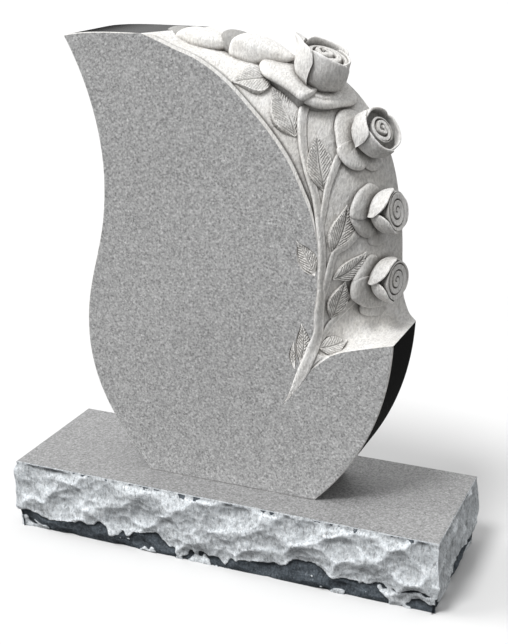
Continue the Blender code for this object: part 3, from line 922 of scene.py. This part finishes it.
class Head:
    """A frame round an axis: turns heights, reaches and angles into points."""

    def __init__(self, origin, axis):
        self.origin = origin
        self.axis = unit(np.array(axis, float))
        self.level = unit(np.cross([0.0, -1.0, 0.0], self.axis))
        self.up = np.cross(self.axis, self.level)

    def points(self, height, reach, angle):
        height, reach, angle = np.broadcast_arrays(height, reach, angle)
        way = np.cos(angle)[..., None] * self.level + np.sin(angle)[..., None] * self.up
        return self.origin + height[..., None] * self.axis + reach[..., None] * way


def core(shape, head, length, radius, coils):
    """The inner cup of a rose and the spiral of petals that fills it."""
    turns, depth, width, waviness, dish, top, share, slant, aside, ahead = coils
    angle = np.linspace(0, 2 * math.pi, CORE_SIDES, endpoint=False)
    rim = share * radius
    crown = length * top
    wall_reach, wall_high = np.array(CORE_WALL).T * [[rim], [crown]]
    reach = rim * 0.975 * np.linspace(1, 0.012, CORE_RINGS)
    pitch = rim / turns
    wave = waviness * np.sin(3 * angle + 0.7) + waviness * 0.6 * np.sin(2 * angle - 1.1)
    inward = (1 - reach / rim)[:, None]
    phase = reach[:, None] / pitch + angle / (2 * math.pi) + wave * inward
    part = phase - np.floor(phase)
    cut = depth * np.cos(np.clip((part - 0.5) / (2 * width), -0.5, 0.5) * math.pi) ** 2
    # Each coil leans: its outer edge stands higher than its inner edge
    lean = CORE_LEAN * depth * np.where(part > 0.5, part - 1, part)
    fade = ease(0.03, 0.14, inward)
    high = crown - dish * (1 - (reach[:, None] / rim) ** 2) + (lean - cut) * fade
    high = np.concatenate([np.repeat(wall_high[:, None], CORE_SIDES, 1), high])
    away = np.concatenate([wall_reach, reach])[:, None]
    high = high - slant * away * np.sin(angle)
    middle = aside * head.level + ahead * head.up
    off = np.concatenate([0 * wall_reach, 1 - reach / rim])[:, None, None] * middle
    # Painted shade on the wall and in the grooves, painted light on the coils
    wall_painted_shade = np.full((len(wall_reach), CORE_SIDES), CORE_WALL_PAINTED_SHADE)
    tone = np.concatenate([wall_painted_shade, CORE_PAINTED_LIGHT - CORE_SHADE * (cut / depth) * fade])
    grid = head.points(high, away, angle) + off
    shape.grid(grid, CARVED, head.level, wrap=True, tone=tone)


def cup_petal(shape, head, length, radius, row):
    """A petal wrapped round the head: outer side, rounded edge and inner side."""
    middle, span, top, reach, drop, curl, climb, point, point_at = (*row, 0, 0, 0)[:9]
    x = np.linspace(-1, 1, PETAL_COLUMNS)
    angle = math.radians(middle) + math.radians(span) * x
    corner = np.abs(x) ** (3.2 if drop > 0.4 else 7.0)
    peak = np.exp(-(((x - point_at) / 0.20) ** 2))
    rim_high = length * (top + climb * x) * (1 - drop * corner) + point * peak
    thick = PETAL_THICKNESS * (1 - np.abs(x) ** 8) + 0.0004
    tuck = 0.0024 * (x + 1) / 2
    up = np.concatenate([np.linspace(-0.1, 0.9, 12), [0.95, 0.985, 1.0]])
    bowl_high, bowl_reach = np.array(BOWL).T
    marks = np.linspace(-0.1, 1, 60)
    bowl = np.interp(up, marks, np.interp(marks, bowl_high, bowl_reach))
    flare = curl * ease(0.6, 1.0, up)
    outer_reach = radius * reach * (bowl + flare)[:, None] + tuck
    outer_reach = outer_reach + POINT_CURL * point * peak * up[:, None] ** 5
    outer_high = up[:, None] * rim_high
    turn = np.linspace(0, math.pi, 6)[1:-1]
    edge_high = rim_high + (thick / 2) * np.sin(turn)[:, None]
    edge_reach = outer_reach[-1:] - thick / 2 * (1 - np.cos(turn)[:, None])
    down, inner_tone = np.array(PETAL_INNER).T
    inner_high = down[:, None] * rim_high
    inner_bowl = np.interp(down, bowl_high, bowl_reach) + curl * ease(0.6, 1.0, down)
    inner_reach = radius * reach * inner_bowl[:, None] + tuck - thick
    high = np.concatenate([outer_high, edge_high, inner_high])
    away = np.concatenate([outer_reach, edge_reach, inner_reach])
    grid = head.points(high, away, angle)
    lumps = 0.0007 * noise(grid, 0.016, 9) + 0.0005 * np.sin(3.2 * x + middle)
    from_axis = grid - head.points(high, 0 * away, angle)
    grid = grid + lumps[..., None] * from_axis / away[..., None]
    # Painted shade at the root, painted highlights on the rim and edge, painted shade down the
    # inner side
    outer_tone = np.full(len(up), PETAL_TONE)
    outer_tone[:6] = np.linspace(PETAL_ROOT_PAINTED_SHADE, 1.0, 6)
    outer_tone[-2:] = PETAL_RIM_PAINTED_HIGHLIGHT
    edge_painted_highlight = np.full(len(turn), PETAL_EDGE_PAINTED_HIGHLIGHT)
    tone = np.concatenate([outer_tone, edge_painted_highlight, inner_tone])
    mid = math.radians(middle)
    way = math.cos(mid) * head.level + math.sin(mid) * head.up
    shape.grid(grid, CARVED, way, tone=tone[:, None])


COLLAR_COLUMNS = 44
# From the middle of an open petal over its edge and back under it: the reach as a share of
# the outline's, and how far it is turned down
COLLAR_PROFILE = [
    (0.15, 0.10), (0.35, 0.05), (0.52, 0.02), (0.70, 0.0), (0.83, 0.03), (0.91, 0.10),
    (0.955, 0.25), (0.98, 0.52), (0.995, 0.90), (1.0, 1.25), (0.985, 1.55), (0.94, 1.8),
    (0.87, 2.1), (0.80, 4.2),
]
# Painted light and shade of an open petal by how far it is turned down: a painted highlight
# along its edge and painted shade under it
COLLAR_PAINTED_LIGHT_AND_SHADE = [(0, 0.94), (0.4, 1.08), (0.9, 1.10), (1.4, 0.75), (2.0, 0.42)]


def open_petal(shape, head, shade, high, turn_down, sag, outline):
    """A broad petal lying on the stone, with a thick rounded edge that is cut under."""
    marks = np.array([(*mark, 0)[:3] for mark in outline], float)
    rows = evenly(marks, COLLAR_COLUMNS)
    angle, far, lift = np.radians(rows[:, 0]), rows[:, 1] / 1000, rows[:, 2] / 1000
    share, drop = np.array(COLLAR_PROFILE).T
    r = share[:, None] * far
    h = high - turn_down * drop[:, None] - sag * (r / far.max()) ** 2
    grid = head.points(h + lift * share[:, None], r, angle)
    ripple = 0.0007 * np.sin(angle * 7) * ease(0.4, 0.9, share)[:, None]
    lumps = 0.0009 * noise(grid, 0.020, 12) + 0.0004 * noise(grid, 0.008, 14) + ripple
    # Painted highlight along the edge, painted shade under it, scaled by the rose's factor
    tone = shade * np.interp(np.where(share < 0.5, 0, drop), *np.array(COLLAR_PAINTED_LIGHT_AND_SHADE).T)
    grid = grid + lumps[..., None] * head.axis
    shape.grid(grid, CARVED, head.axis, tone=tone[:, None])


def rose(shape, name):
    place, facing, length, radius, shade = ROSES[name]
    head = Head(place[0], facing)
    core(shape, head, length, radius, SPIRALS[name])
    for row in CUPS[name]:
        cup_petal(shape, head, length, radius, row)
    under = Head(place[0], unit(np.array(facing, float)) + place[1])
    for row in COLLARS[name]:
        open_petal(shape, under, shade, *row)


# Buds

# The marks of the two ends, the depth behind mid thickness, half the span across and half
# the height
BUDS = [
    ((-238, 996), (-22, 976), 0.014, 0.034, 0.017),
    ((-72, 994), (146, 950), 0.020, 0.034, 0.020),
]
# How far along and how thick, as shares, for the petal round the bud and for the nose in it
BUD_BODY = [
    (0.0, 0.84), (0.008, 0.94), (0.06, 1.0), (0.18, 1.0), (0.34, 0.95), (0.52, 0.80),
    (0.70, 0.60), (0.86, 0.36), (1.0, 0.06),
]
BUD_NOSE = [
    (0.0, 0.03), (0.012, 0.28), (0.045, 0.50), (0.10, 0.68), (0.18, 0.78), (0.28, 0.80),
    (0.40, 0.60),
]
# Where the petal opens along the bud, how far its edge slants, and the angle of the slant
BUD_EDGE = (0.30, 0.10, 1.15)
BUD_SIDES = 40
# How far the lower half reaches into the stone, against the upper half
BUD_ROOT = 1.9
# Profile, steps along it and tone, for the nose and for the petal: the nose in painted shade,
# the petal painted lighter
BUD_PARTS = [(BUD_NOSE, 24, 0.50), (BUD_BODY, 40, 1.16)]


def bud(shape, start, end, depth, half_span, half_height):
    """A closed bud along the top of the stone: a rounded nose that a petal wraps slantwise."""
    first, last = on_plane(start, depth), on_plane(end, depth)
    back = np.array([0.0, 1.0, 0.0])
    up = unit(np.cross(last - first, back))
    up = up * np.sign(up[2])
    angle = np.linspace(0, 2 * math.pi, BUD_SIDES, endpoint=False)
    near, slip, turn = BUD_EDGE
    edge = near + slip * np.sin(angle + turn)
    for (profile, steps, tone), opening in zip(BUD_PARTS, (0 * edge, edge)):
        rows = evenly(profile, steps)
        gone = opening + (1 - opening) * rows[:, :1]
        share = np.maximum(rows[:, 1:], 0.02)
        fold = 1 + 0.04 * np.sin(2 * angle + turn) + 0.02 * np.sin(3 * angle + 6 * gone)
        cos, sin = np.cos(angle), np.sin(angle)
        # The lower half is boxy
        across = np.where(sin < 0, boxy(cos, 0.35), cos)
        out_y = across * half_span * share * fold
        out_up = sin * half_height * share * fold * np.where(sin < 0, BUD_ROOT, 1.0)
        centre = first + (last - first) * gone[..., None]
        grid = centre + out_y[..., None] * back + out_up[..., None] * up
        # The nose in painted shade, the petal painted lighter
        shape.grid(grid, CARVED, back, wrap=True, tone=tone)


def make_tablet(materials):
    shape = Shape()
    pockets = [face_leaf(shape, *row) for row in FACE_LEAVES]
    slab(shape, pockets)
    for marks, radius in STEMS:
        stem(shape, marks, radius)
    for row in LEAVES:
        leaf(shape, *row)
    for row in BUDS:
        bud(shape, *row)
    for name in ROSES:
        rose(shape, name)
    tablet = shape.build("headstone_tablet", materials, TABLET_CREASE)
    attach(tablet, "root")
    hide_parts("tablet")


# The base

GOLDEN = 0.6180339887
PLASTIC = 0.7548776662
# Hollows of each kind: how many there are, their reach, how far their floors differ and how
# much longer than high they are
SCOOPS = (84, 0.058, 0.6, 1.4)
SPALLS = (150, 0.042, 0.7, 1.5)
CHIPS = (800, 0.0185, 0.8, 1.6)
SCARS = (30, 0.058, 0.5, 1.3)
SCAR_TALL = 0.012
SPALL_DEPTH = 0.0150
CHIP_DEPTH = 0.0046
GRAIN_DEPTH = 0.0009
SCAR_DEPTH = 0.0035
NICK_DEPTH = 0.005
TOP_NICK_DEPTH = 0.004
# How near a corner the relief is calmer, and how dark the painted shadow under the top edge is
CORNER_CALM = 0.035
BRINK_PAINTED_SHADOW = 0.60
# Tone added for each metre that the rock stands out from what is round it: fresh breaks are
# paler, and the rest is painted light on the ridges and painted shade in the hollows
FRESH_RIDGE_AND_PAINTED_LIGHT = 190
ROCK_TONES = (0.52, 1.18)
# Painted shade on the top arris
ARRIS_PAINTED_SHADE = 0.8
ROCK_ENVELOPE = [0.0, 0.8, 1.0, 1.0, 0.85, 0.45, 0.0]
ROCK_STEP = 0.0022
ROCK_ROWS = 74
TOP_ARRIS = 0.0015


def hollows(along, height, length, kind, tall=BASE_HEIGHT):
    """Hollows that meet in ridges, 0 to 1, over the unrolled sides up to a height."""
    count, reach, floors, stretch = kind
    value = np.ones(np.shape(along))
    columns = along[0]
    for i in range(count):
        centre = length * ((i * GOLDEN) % 1.0)
        level = tall * ((i * PLASTIC) % 1.0)
        floor = floors * ((i * i * GOLDEN) % 1.0)
        near = np.abs(columns - centre)
        near = np.minimum(near, length - near) < reach * stretch + 0.03
        gap = np.abs(along[:, near] - centre)
        gap = np.minimum(gap, np.abs(length - gap)) / stretch
        fresh = floor + (gap**2 + (height[:, near] - level) ** 2) / reach**2
        value[:, near] = np.minimum(value[:, near], fresh)
    return value


def blurred(values, reach):
    """Values averaged over their neighbours, round the sides and up and down."""
    shifts = range(-reach, reach + 1)
    rows = np.arange(len(values))
    values = sum(np.roll(values, k, 1) for k in shifts) / len(shifts)
    return sum(values[np.clip(rows + k, 0, len(rows) - 1)] for k in shifts) / len(shifts)


def rock_outline():
    """Points round the block, the ways out, how far along they lie and the whole length."""
    half = np.array([BASE_WIDTH / 2, BASE_DEPTH / 2])
    corners = np.array([(-1, -1), (1, -1), (1, 1), (-1, 1)])
    outward = np.array([(0, -1), (1, 0), (0, 1), (-1, 0)])
    points, ways = [], []
    for k in range(4):
        steps = int(2 * half[k % 2] / ROCK_STEP)
        for i in range(steps):
            share = i / steps
            points.append((corners[k] * (1 - share) + corners[(k + 1) % 4] * share) * half)
            ways.append(corners[k] if i == 0 else outward[k])
    points, ways = np.array(points), np.array(ways, float)
    step = np.linalg.norm(np.diff(points, axis=0, append=points[:1]), axis=1)
    return points, ways, np.cumsum(step) - step, step.sum()


def rock_relief(along, height, length, down, calm):
    """How far the rock stands out from the block, and the mask, from 0 to 1, of its dark stone and
    of the painted shadow under its top edge.
    """
    place = np.stack([along, height, 0 * along], -1)
    bent = place + np.stack([0.010 * noise(place, 0.035, k) for k in (21, 22, 23)], -1)
    broad = hollows(along, height, length, SCOOPS)
    spalls, chips = (hollows(bent[..., 0], bent[..., 1], length, k) for k in (SPALLS, CHIPS))
    fine = 0.5 * noise(place, 0.010, 3) + 0.35 * noise(place, 0.0055, 4)
    envelope = np.interp(down, np.linspace(0, 1, len(ROCK_ENVELOPE)), ROCK_ENVELOPE)
    offset = ROCK_BULGE * broad * envelope - ROCK_FOOT_INSET * down**4
    inner = ease(0, 0.06, down) * (1 - 0.9 * ease(0.86, 1.0, down)) * calm
    relief = SPALL_DEPTH * (spalls - 0.6) + CHIP_DEPTH * (chips - 0.6) + GRAIN_DEPTH * fine
    offset = offset + inner * relief
    # Dark scars that rise from the foot in arcs, with pale flakes left inside them
    gap = bent[..., 1] + 0.010 * noise(place, 0.09, 31)
    scar = 0.95 - hollows(bent[..., 0], gap * 1.25, length, SCARS, SCAR_TALL)
    flake = 0.8 * noise(bent * [0.5, 1.1, 1.0], 0.030, 33) + 0.12 * noise(place, 0.009, 34)
    flake = flake + 0.26 * (chips - 0.7)
    ragged = 0.16 * noise(place, 0.013, 35) + 0.35 * (chips - 0.6)
    scar = scar + ragged * ease(-0.04, 0.06, scar)
    dark = ease(0.0, 0.07, scar) * (1 - ease(0.34, 0.42, flake))
    offset = offset - SCAR_DEPTH * dark
    # Painted shadows that hang in small arcs from the top edge
    brink = noise(place * [1.0, 0.3, 1.0], 0.008, 41) + 0.3 * noise(place, 0.005, 42)
    brink = ease(-0.1, 0.30, brink - 14 * down)
    dark = np.maximum(dark, BRINK_PAINTED_SHADOW * brink)
    nick = NICK_DEPTH * np.maximum(0, noise(place, 0.030, 7) - 0.15)
    top_nick = TOP_NICK_DEPTH * np.maximum(0, noise(place, 0.018, 8))
    offset = offset - nick * ease(0.88, 1.0, down)
    offset = offset - top_nick * between(0, 0.03, 0.03, 0.10, down)
    return offset, dark


def make_base(materials):
    shape = Shape()
    points, ways, gone, length = rock_outline()
    down = np.linspace(0, 1, ROCK_ROWS + 1)[:, None]
    along, height = np.meshgrid(gone, (BASE_HEIGHT - TOP_ARRIS) * (1 - down))
    corner_places = np.append(gone[(ways != 0).all(1)], length)
    to_corner = np.abs(gone[:, None] - corner_places[None]).min(1)
    calm = 0.25 + 0.75 * ease(0.0, CORNER_CALM, to_corner)
    offset, dark = rock_relief(along, height, length, down, calm)
    # Fresh ridges are paler than the hollows between them, and more so as painted light on the
    # ridges and painted shade in the hollows
    tone = np.clip(1 + FRESH_RIDGE_AND_PAINTED_LIGHT * (offset - blurred(offset, 4)), *ROCK_TONES)
    rings = points[None] + ways[None] * offset[..., None]
    grid = np.concatenate([rings, height[..., None]], -1)
    shape.grid(grid, PITCHED, None, wrap=True, tone=tone)
    top = np.column_stack([points - ways * TOP_ARRIS, np.full(len(points), BASE_HEIGHT)])
    # The top arris, in painted shade
    shape.grid([top, grid[0]], PITCHED, None, wrap=True, tone=ARRIS_PAINTED_SHADE)
    shape.fill([top], TOP_HONED, (0, 0, 1))
    shape.fill([grid[-1]], PITCHED, (0, 0, -1))
    base = shape.build("headstone_base", materials, BASE_CREASE)
    # The mask of the dark stone and of the painted shadow under the top edge: the rock, then the
    # arris's inner ring, and 0 for the rest
    scars = base.data.attributes.new("scar", "FLOAT", "POINT")
    dark = np.append(dark.ravel(), dark[0])
    scars.data.foreach_set("value", np.append(dark, np.zeros(shape.count - dark.size)))
    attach(base, "root")
    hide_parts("base")


# Stone


class Nodes:
    """The nodes of a material or of the world, added and joined by short calls."""

    def __init__(self, owner):
        owner.use_nodes = True
        self.tree = owner.node_tree

    def node(self, kind, settings=None, **inputs):
        node = self.tree.nodes.new(kind)
        for key, value in (settings or {}).items():
            setattr(node, key, value)
        for key, value in inputs.items():
            self.put(node.inputs[key.replace("_", " ")], value)
        return node

    def put(self, socket, value):
        if isinstance(value, bpy.types.NodeSocket):
            self.tree.links.new(value, socket)
        else:
            socket.default_value = value

    def mix(self, share, a, b, blend="MIX"):
        node = self.node("ShaderNodeMix", {"data_type": "RGBA", "blend_type": blend})
        self.put(node.inputs[0], share)
        self.put(node.inputs[6], a)
        self.put(node.inputs[7], b)
        return node.outputs[2]

    def math(self, operation, a, b):
        node = self.node("ShaderNodeMath", {"operation": operation})
        self.put(node.inputs[0], a)
        self.put(node.inputs[1], b)
        return node.outputs[0]


class Paint(Nodes):
    """A material's nodes."""

    def __init__(self, name):
        self.material = bpy.data.materials.new(name)
        super().__init__(self.material)
        self.shader = self.tree.nodes["Principled BSDF"]
        self.where = self.node("ShaderNodeTexCoord").outputs["Object"]

    def noise(self, size, detail=2.0, roughness=0.5, drawn_out=None):
        """Noise about as fine as size, and at times turned and drawn out."""
        where = self.where
        if drawn_out:
            turn, stretch = drawn_out
            turned = self.node("ShaderNodeMapping", Vector=where, Rotation=turn, Scale=stretch)
            where = turned.outputs[0]
        settings = {"Scale": 1 / size, "Detail": detail, "Roughness": roughness}
        return self.node("ShaderNodeTexNoise", Vector=where, **settings).outputs[0]

    def ramp(self, value, stops):
        """Colours or greys at places from 0 to 1."""
        node = self.node("ShaderNodeValToRGB", Fac=value)
        elements = node.color_ramp.elements
        while len(elements) < len(stops):
            elements.new(0.5)
        for element, (place, colour) in zip(elements, stops):
            element.position = place
            element.color = (*colour, 1) if isinstance(colour, tuple) else (*[colour] * 3, 1)
        return node.outputs[0]

    def attribute(self, name):
        return self.node("ShaderNodeAttribute", {"attribute_name": name}).outputs["Fac"]

    def times(self, a, b):
        return self.mix(1.0, a, b, "MULTIPLY")

    def bump(self, height, distance, strength=1.0):
        node = self.node("ShaderNodeBump", Height=height, Distance=distance, Strength=strength)
        self.put(self.shader.inputs["Normal"], node.outputs[0])

    def finish(self, colour, roughness, specular=0.5):
        self.put(self.shader.inputs["Base Color"], colour)
        self.put(self.shader.inputs["Roughness"], roughness)
        self.shader.inputs["Specular IOR Level"].default_value = specular
        return self.material


# Dark, middle and light grains of each finish. The face and the base's top are one honed
# stone; the top's grains are painted darker, as painted shade against the stronger light on it
FACE_GRAINS = (0.19, 0.405, 0.70)
TOP_GRAINS_PAINTED_DARKER = (0.133, 0.262, 0.435)
POLISHED_GRAINS = (0.006, 0.014, 0.034)
CARVED_GRAINS = ((0.72, 0.71, 0.695), (0.80, 0.79, 0.775), (0.86, 0.86, 0.85))
PITCHED_GRAINS = ((0.44, 0.47, 0.50), (0.68, 0.715, 0.74), (0.86, 0.88, 0.90))
SLATE_GRAINS = ((0.040, 0.048, 0.057), (0.070, 0.085, 0.100), (0.15, 0.17, 0.19))
COARSE_GRAIN = 0.0044
FINE_GRAIN = 0.0032


def grains(paint, dark, middle, light):
    """The speckle of granite: mica, feldspar and quartz grains of two sizes."""
    coarse = paint.noise(COARSE_GRAIN, 2.0, 0.65)
    colour = paint.ramp(coarse, [(0.34, dark), (0.46, middle), (0.56, middle), (0.68, light)])
    cells = paint.node("ShaderNodeTexVoronoi", Vector=paint.where, Scale=1 / FINE_GRAIN)
    tone = paint.ramp(cells.outputs["Color"], [(0.2, dark), (0.5, middle), (0.85, light)])
    return paint.mix(0.4, colour, tone)


def honed_stone(name, shades):
    paint = Paint(name)
    colour = grains(paint, *shades)
    broad = paint.ramp(paint.noise(0.30), [(0.3, 0.93), (0.7, 1.0)])
    paint.bump(paint.noise(0.0015), 0.0001, 0.3)
    return paint.finish(paint.times(colour, broad), 0.55, 0.35)


def polished_stone():
    paint = Paint("polished_granite")
    return paint.finish(grains(paint, *POLISHED_GRAINS), 0.12, 0.40)


def worked(paint, colour, reach, painted_crevice_shade, strokes, flecks, bump):
    """A colour with painted shade in its corners, the chisel's strokes, and the mesh's tone of
    painted light and shade.
    """
    settings = {"samples": 8, "only_local": True}
    hollow = paint.node("ShaderNodeAmbientOcclusion", settings, Distance=reach)
    colour = paint.times(colour, paint.ramp(hollow.outputs["AO"], painted_crevice_shade))
    colour = paint.times(colour, paint.ramp(strokes, flecks))
    paint.bump(strokes, bump)
    return paint.times(colour, paint.attribute("tone"))


def carved_stone():
    paint = Paint("carved_granite")
    patches = [(0.35, (0.93, 0.92, 0.90)), (0.65, 1.0)]
    patches = paint.ramp(paint.noise(0.05, 3.0, 0.6), patches)
    colour = paint.times(grains(paint, *CARVED_GRAINS), patches)
    # Painted shade in corners and creases, from ambient occlusion
    painted_crevice_shade = [(0.25, (0.36, 0.345, 0.33)), (0.85, 1.0)]
    strokes = paint.noise(1 / 300, 3.0, 0.65, ((0.0, -0.7, 0.4), (1.0, 0.6, 0.36)))
    flecks = [(0.36, 0.80), (0.50, 0.96), (0.64, 1.07)]
    return paint.finish(worked(paint, colour, 0.016, painted_crevice_shade, strokes, flecks, 0.0030), 0.85, 0.2)


def pitched_stone():
    paint = Paint("pitched_granite")
    ragged = paint.math("MULTIPLY", paint.noise(0.006, 3.0, 0.6), 0.5)
    ragged = paint.math("ADD", paint.attribute("scar"), ragged)
    mask = paint.ramp(ragged, [(0.70, 0.0), (0.80, 1.0)])
    colour = paint.mix(mask, grains(paint, *PITCHED_GRAINS), grains(paint, *SLATE_GRAINS))
    # Painted shade in the rock's hollows, from ambient occlusion
    painted_crevice_shade = [(0.40, (0.16, 0.18, 0.21)), (0.92, 1.0)]
    strokes = paint.noise(1 / 190, 5.0, 0.75, ((0.0, 0.7, 0.0), (1.0, 1.0, 0.35)))
    flecks = [(0.35, 0.50), (0.47, 0.94), (0.62, 1.10)]
    return paint.finish(worked(paint, colour, 0.014, painted_crevice_shade, strokes, flecks, 0.0042), 0.8, 0.3)


# The floor, the light and the camera

# Strength of the room overhead and below the horizon, as it lights matt stone and as the
# polish mirrors it
AMBIENT = 0.64
AMBIENT_LOW = 0.20
MIRRORED = 2.20
MIRRORED_LOW = 0.02
# Name, power, width in degrees and where the light comes from
SUNS = [
    ("key", 2.15, 16, (-0.20, -0.50, 0.84)),
    ("side_light", 1.8, 40, (-0.80, -0.28, 0.50)),
]

# The camera, as solved from the edges of the base in the photograph
CAMERA_PLACE = (0.9249, -2.1549, 1.2997)
CAMERA_TURN = math.radians(22.708)
CAMERA_FALL = math.radians(19.361)
LENS = 69.6
SENSOR = 36.0
FLOOR_REACH = 40.0


def make_floor():
    mesh = bpy.data.meshes.new("floor")
    corners = [(-1, -1), (1, -1), (1, 1), (-1, 1)]
    corners = [(x * FLOOR_REACH, y * FLOOR_REACH, 0) for x, y in corners]
    mesh.from_pydata(corners, [], [(0, 1, 2, 3)])
    floor = place_object("floor", mesh)
    paint = Paint("floor_paper")
    tone = paint.ramp(paint.noise(0.8), [(0.3, 0.70), (0.7, 0.72)])
    mesh.materials.append(paint.finish(tone, 0.9, 0.1))
    floor.visible_diffuse = False
    floor.visible_glossy = False


def make_light():
    """A bright room, dimmer to the stone than to the eye, a soft key and a weaker side light."""
    world = bpy.data.worlds.new("studio")
    nodes = Nodes(world)
    where = nodes.node("ShaderNodeTexCoord").outputs["Generated"]
    upward = nodes.node("ShaderNodeSeparateXYZ", Vector=where).outputs["Z"]

    def by_height(low, high, least, most):
        ends = {"From_Min": low, "From_Max": high, "To_Min": least, "To_Max": most}
        return nodes.node("ShaderNodeMapRange", Value=upward, **ends).outputs[0]

    ray = nodes.node("ShaderNodeLightPath").outputs
    level = by_height(-0.3, 0.5, AMBIENT_LOW, AMBIENT)
    mirrored = by_height(0.05, 0.45, MIRRORED_LOW, MIRRORED)
    for seen, value in (("Is Glossy Ray", mirrored), ("Is Camera Ray", 1.0)):
        pick = nodes.node("ShaderNodeMix")
        for socket, source in zip((0, 2, 3), (ray[seen], level, value)):
            nodes.put(pick.inputs[socket], source)
        level = pick.outputs[0]
    sky = nodes.tree.nodes["Background"]
    nodes.put(sky.inputs["Strength"], level)
    sky.inputs["Color"].default_value = (1, 1, 1, 1)
    bpy.context.scene.world = world
    for name, power, width, way in SUNS:
        sun = bpy.data.lights.new(name, "SUN")
        sun.energy = power
        sun.angle = math.radians(width)
        way = unit(np.array(way))
        turn = turned(math.atan2(way[0], -way[1]), math.acos(way[2]))
        place_object(name, sun).matrix_world = turn


def turned(around, tilt):
    """Tilted up from looking straight down, then turned round the vertical."""
    return Matrix.Rotation(around, 4, "Z") @ Matrix.Rotation(tilt, 4, "X")


def make_camera():
    data = bpy.data.cameras.new("camera")
    data.sensor_fit = "VERTICAL"
    data.sensor_height = SENSOR
    data.lens = LENS
    data.clip_end = 100
    camera = place_object("camera", data)
    looking = turned(CAMERA_TURN, math.pi / 2 - CAMERA_FALL)
    camera.matrix_world = Matrix.Translation(CAMERA_PLACE) @ looking
    bpy.context.scene.camera = camera


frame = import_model()
make_tablet([honed_stone("honed_granite", FACE_GRAINS), polished_stone(), carved_stone()])
make_base([pitched_stone(), honed_stone("honed_granite_top_painted_darker", TOP_GRAINS_PAINTED_DARKER)])
make_floor()
make_light()
make_camera()
bpy.context.scene.view_settings.view_transform = "Standard"
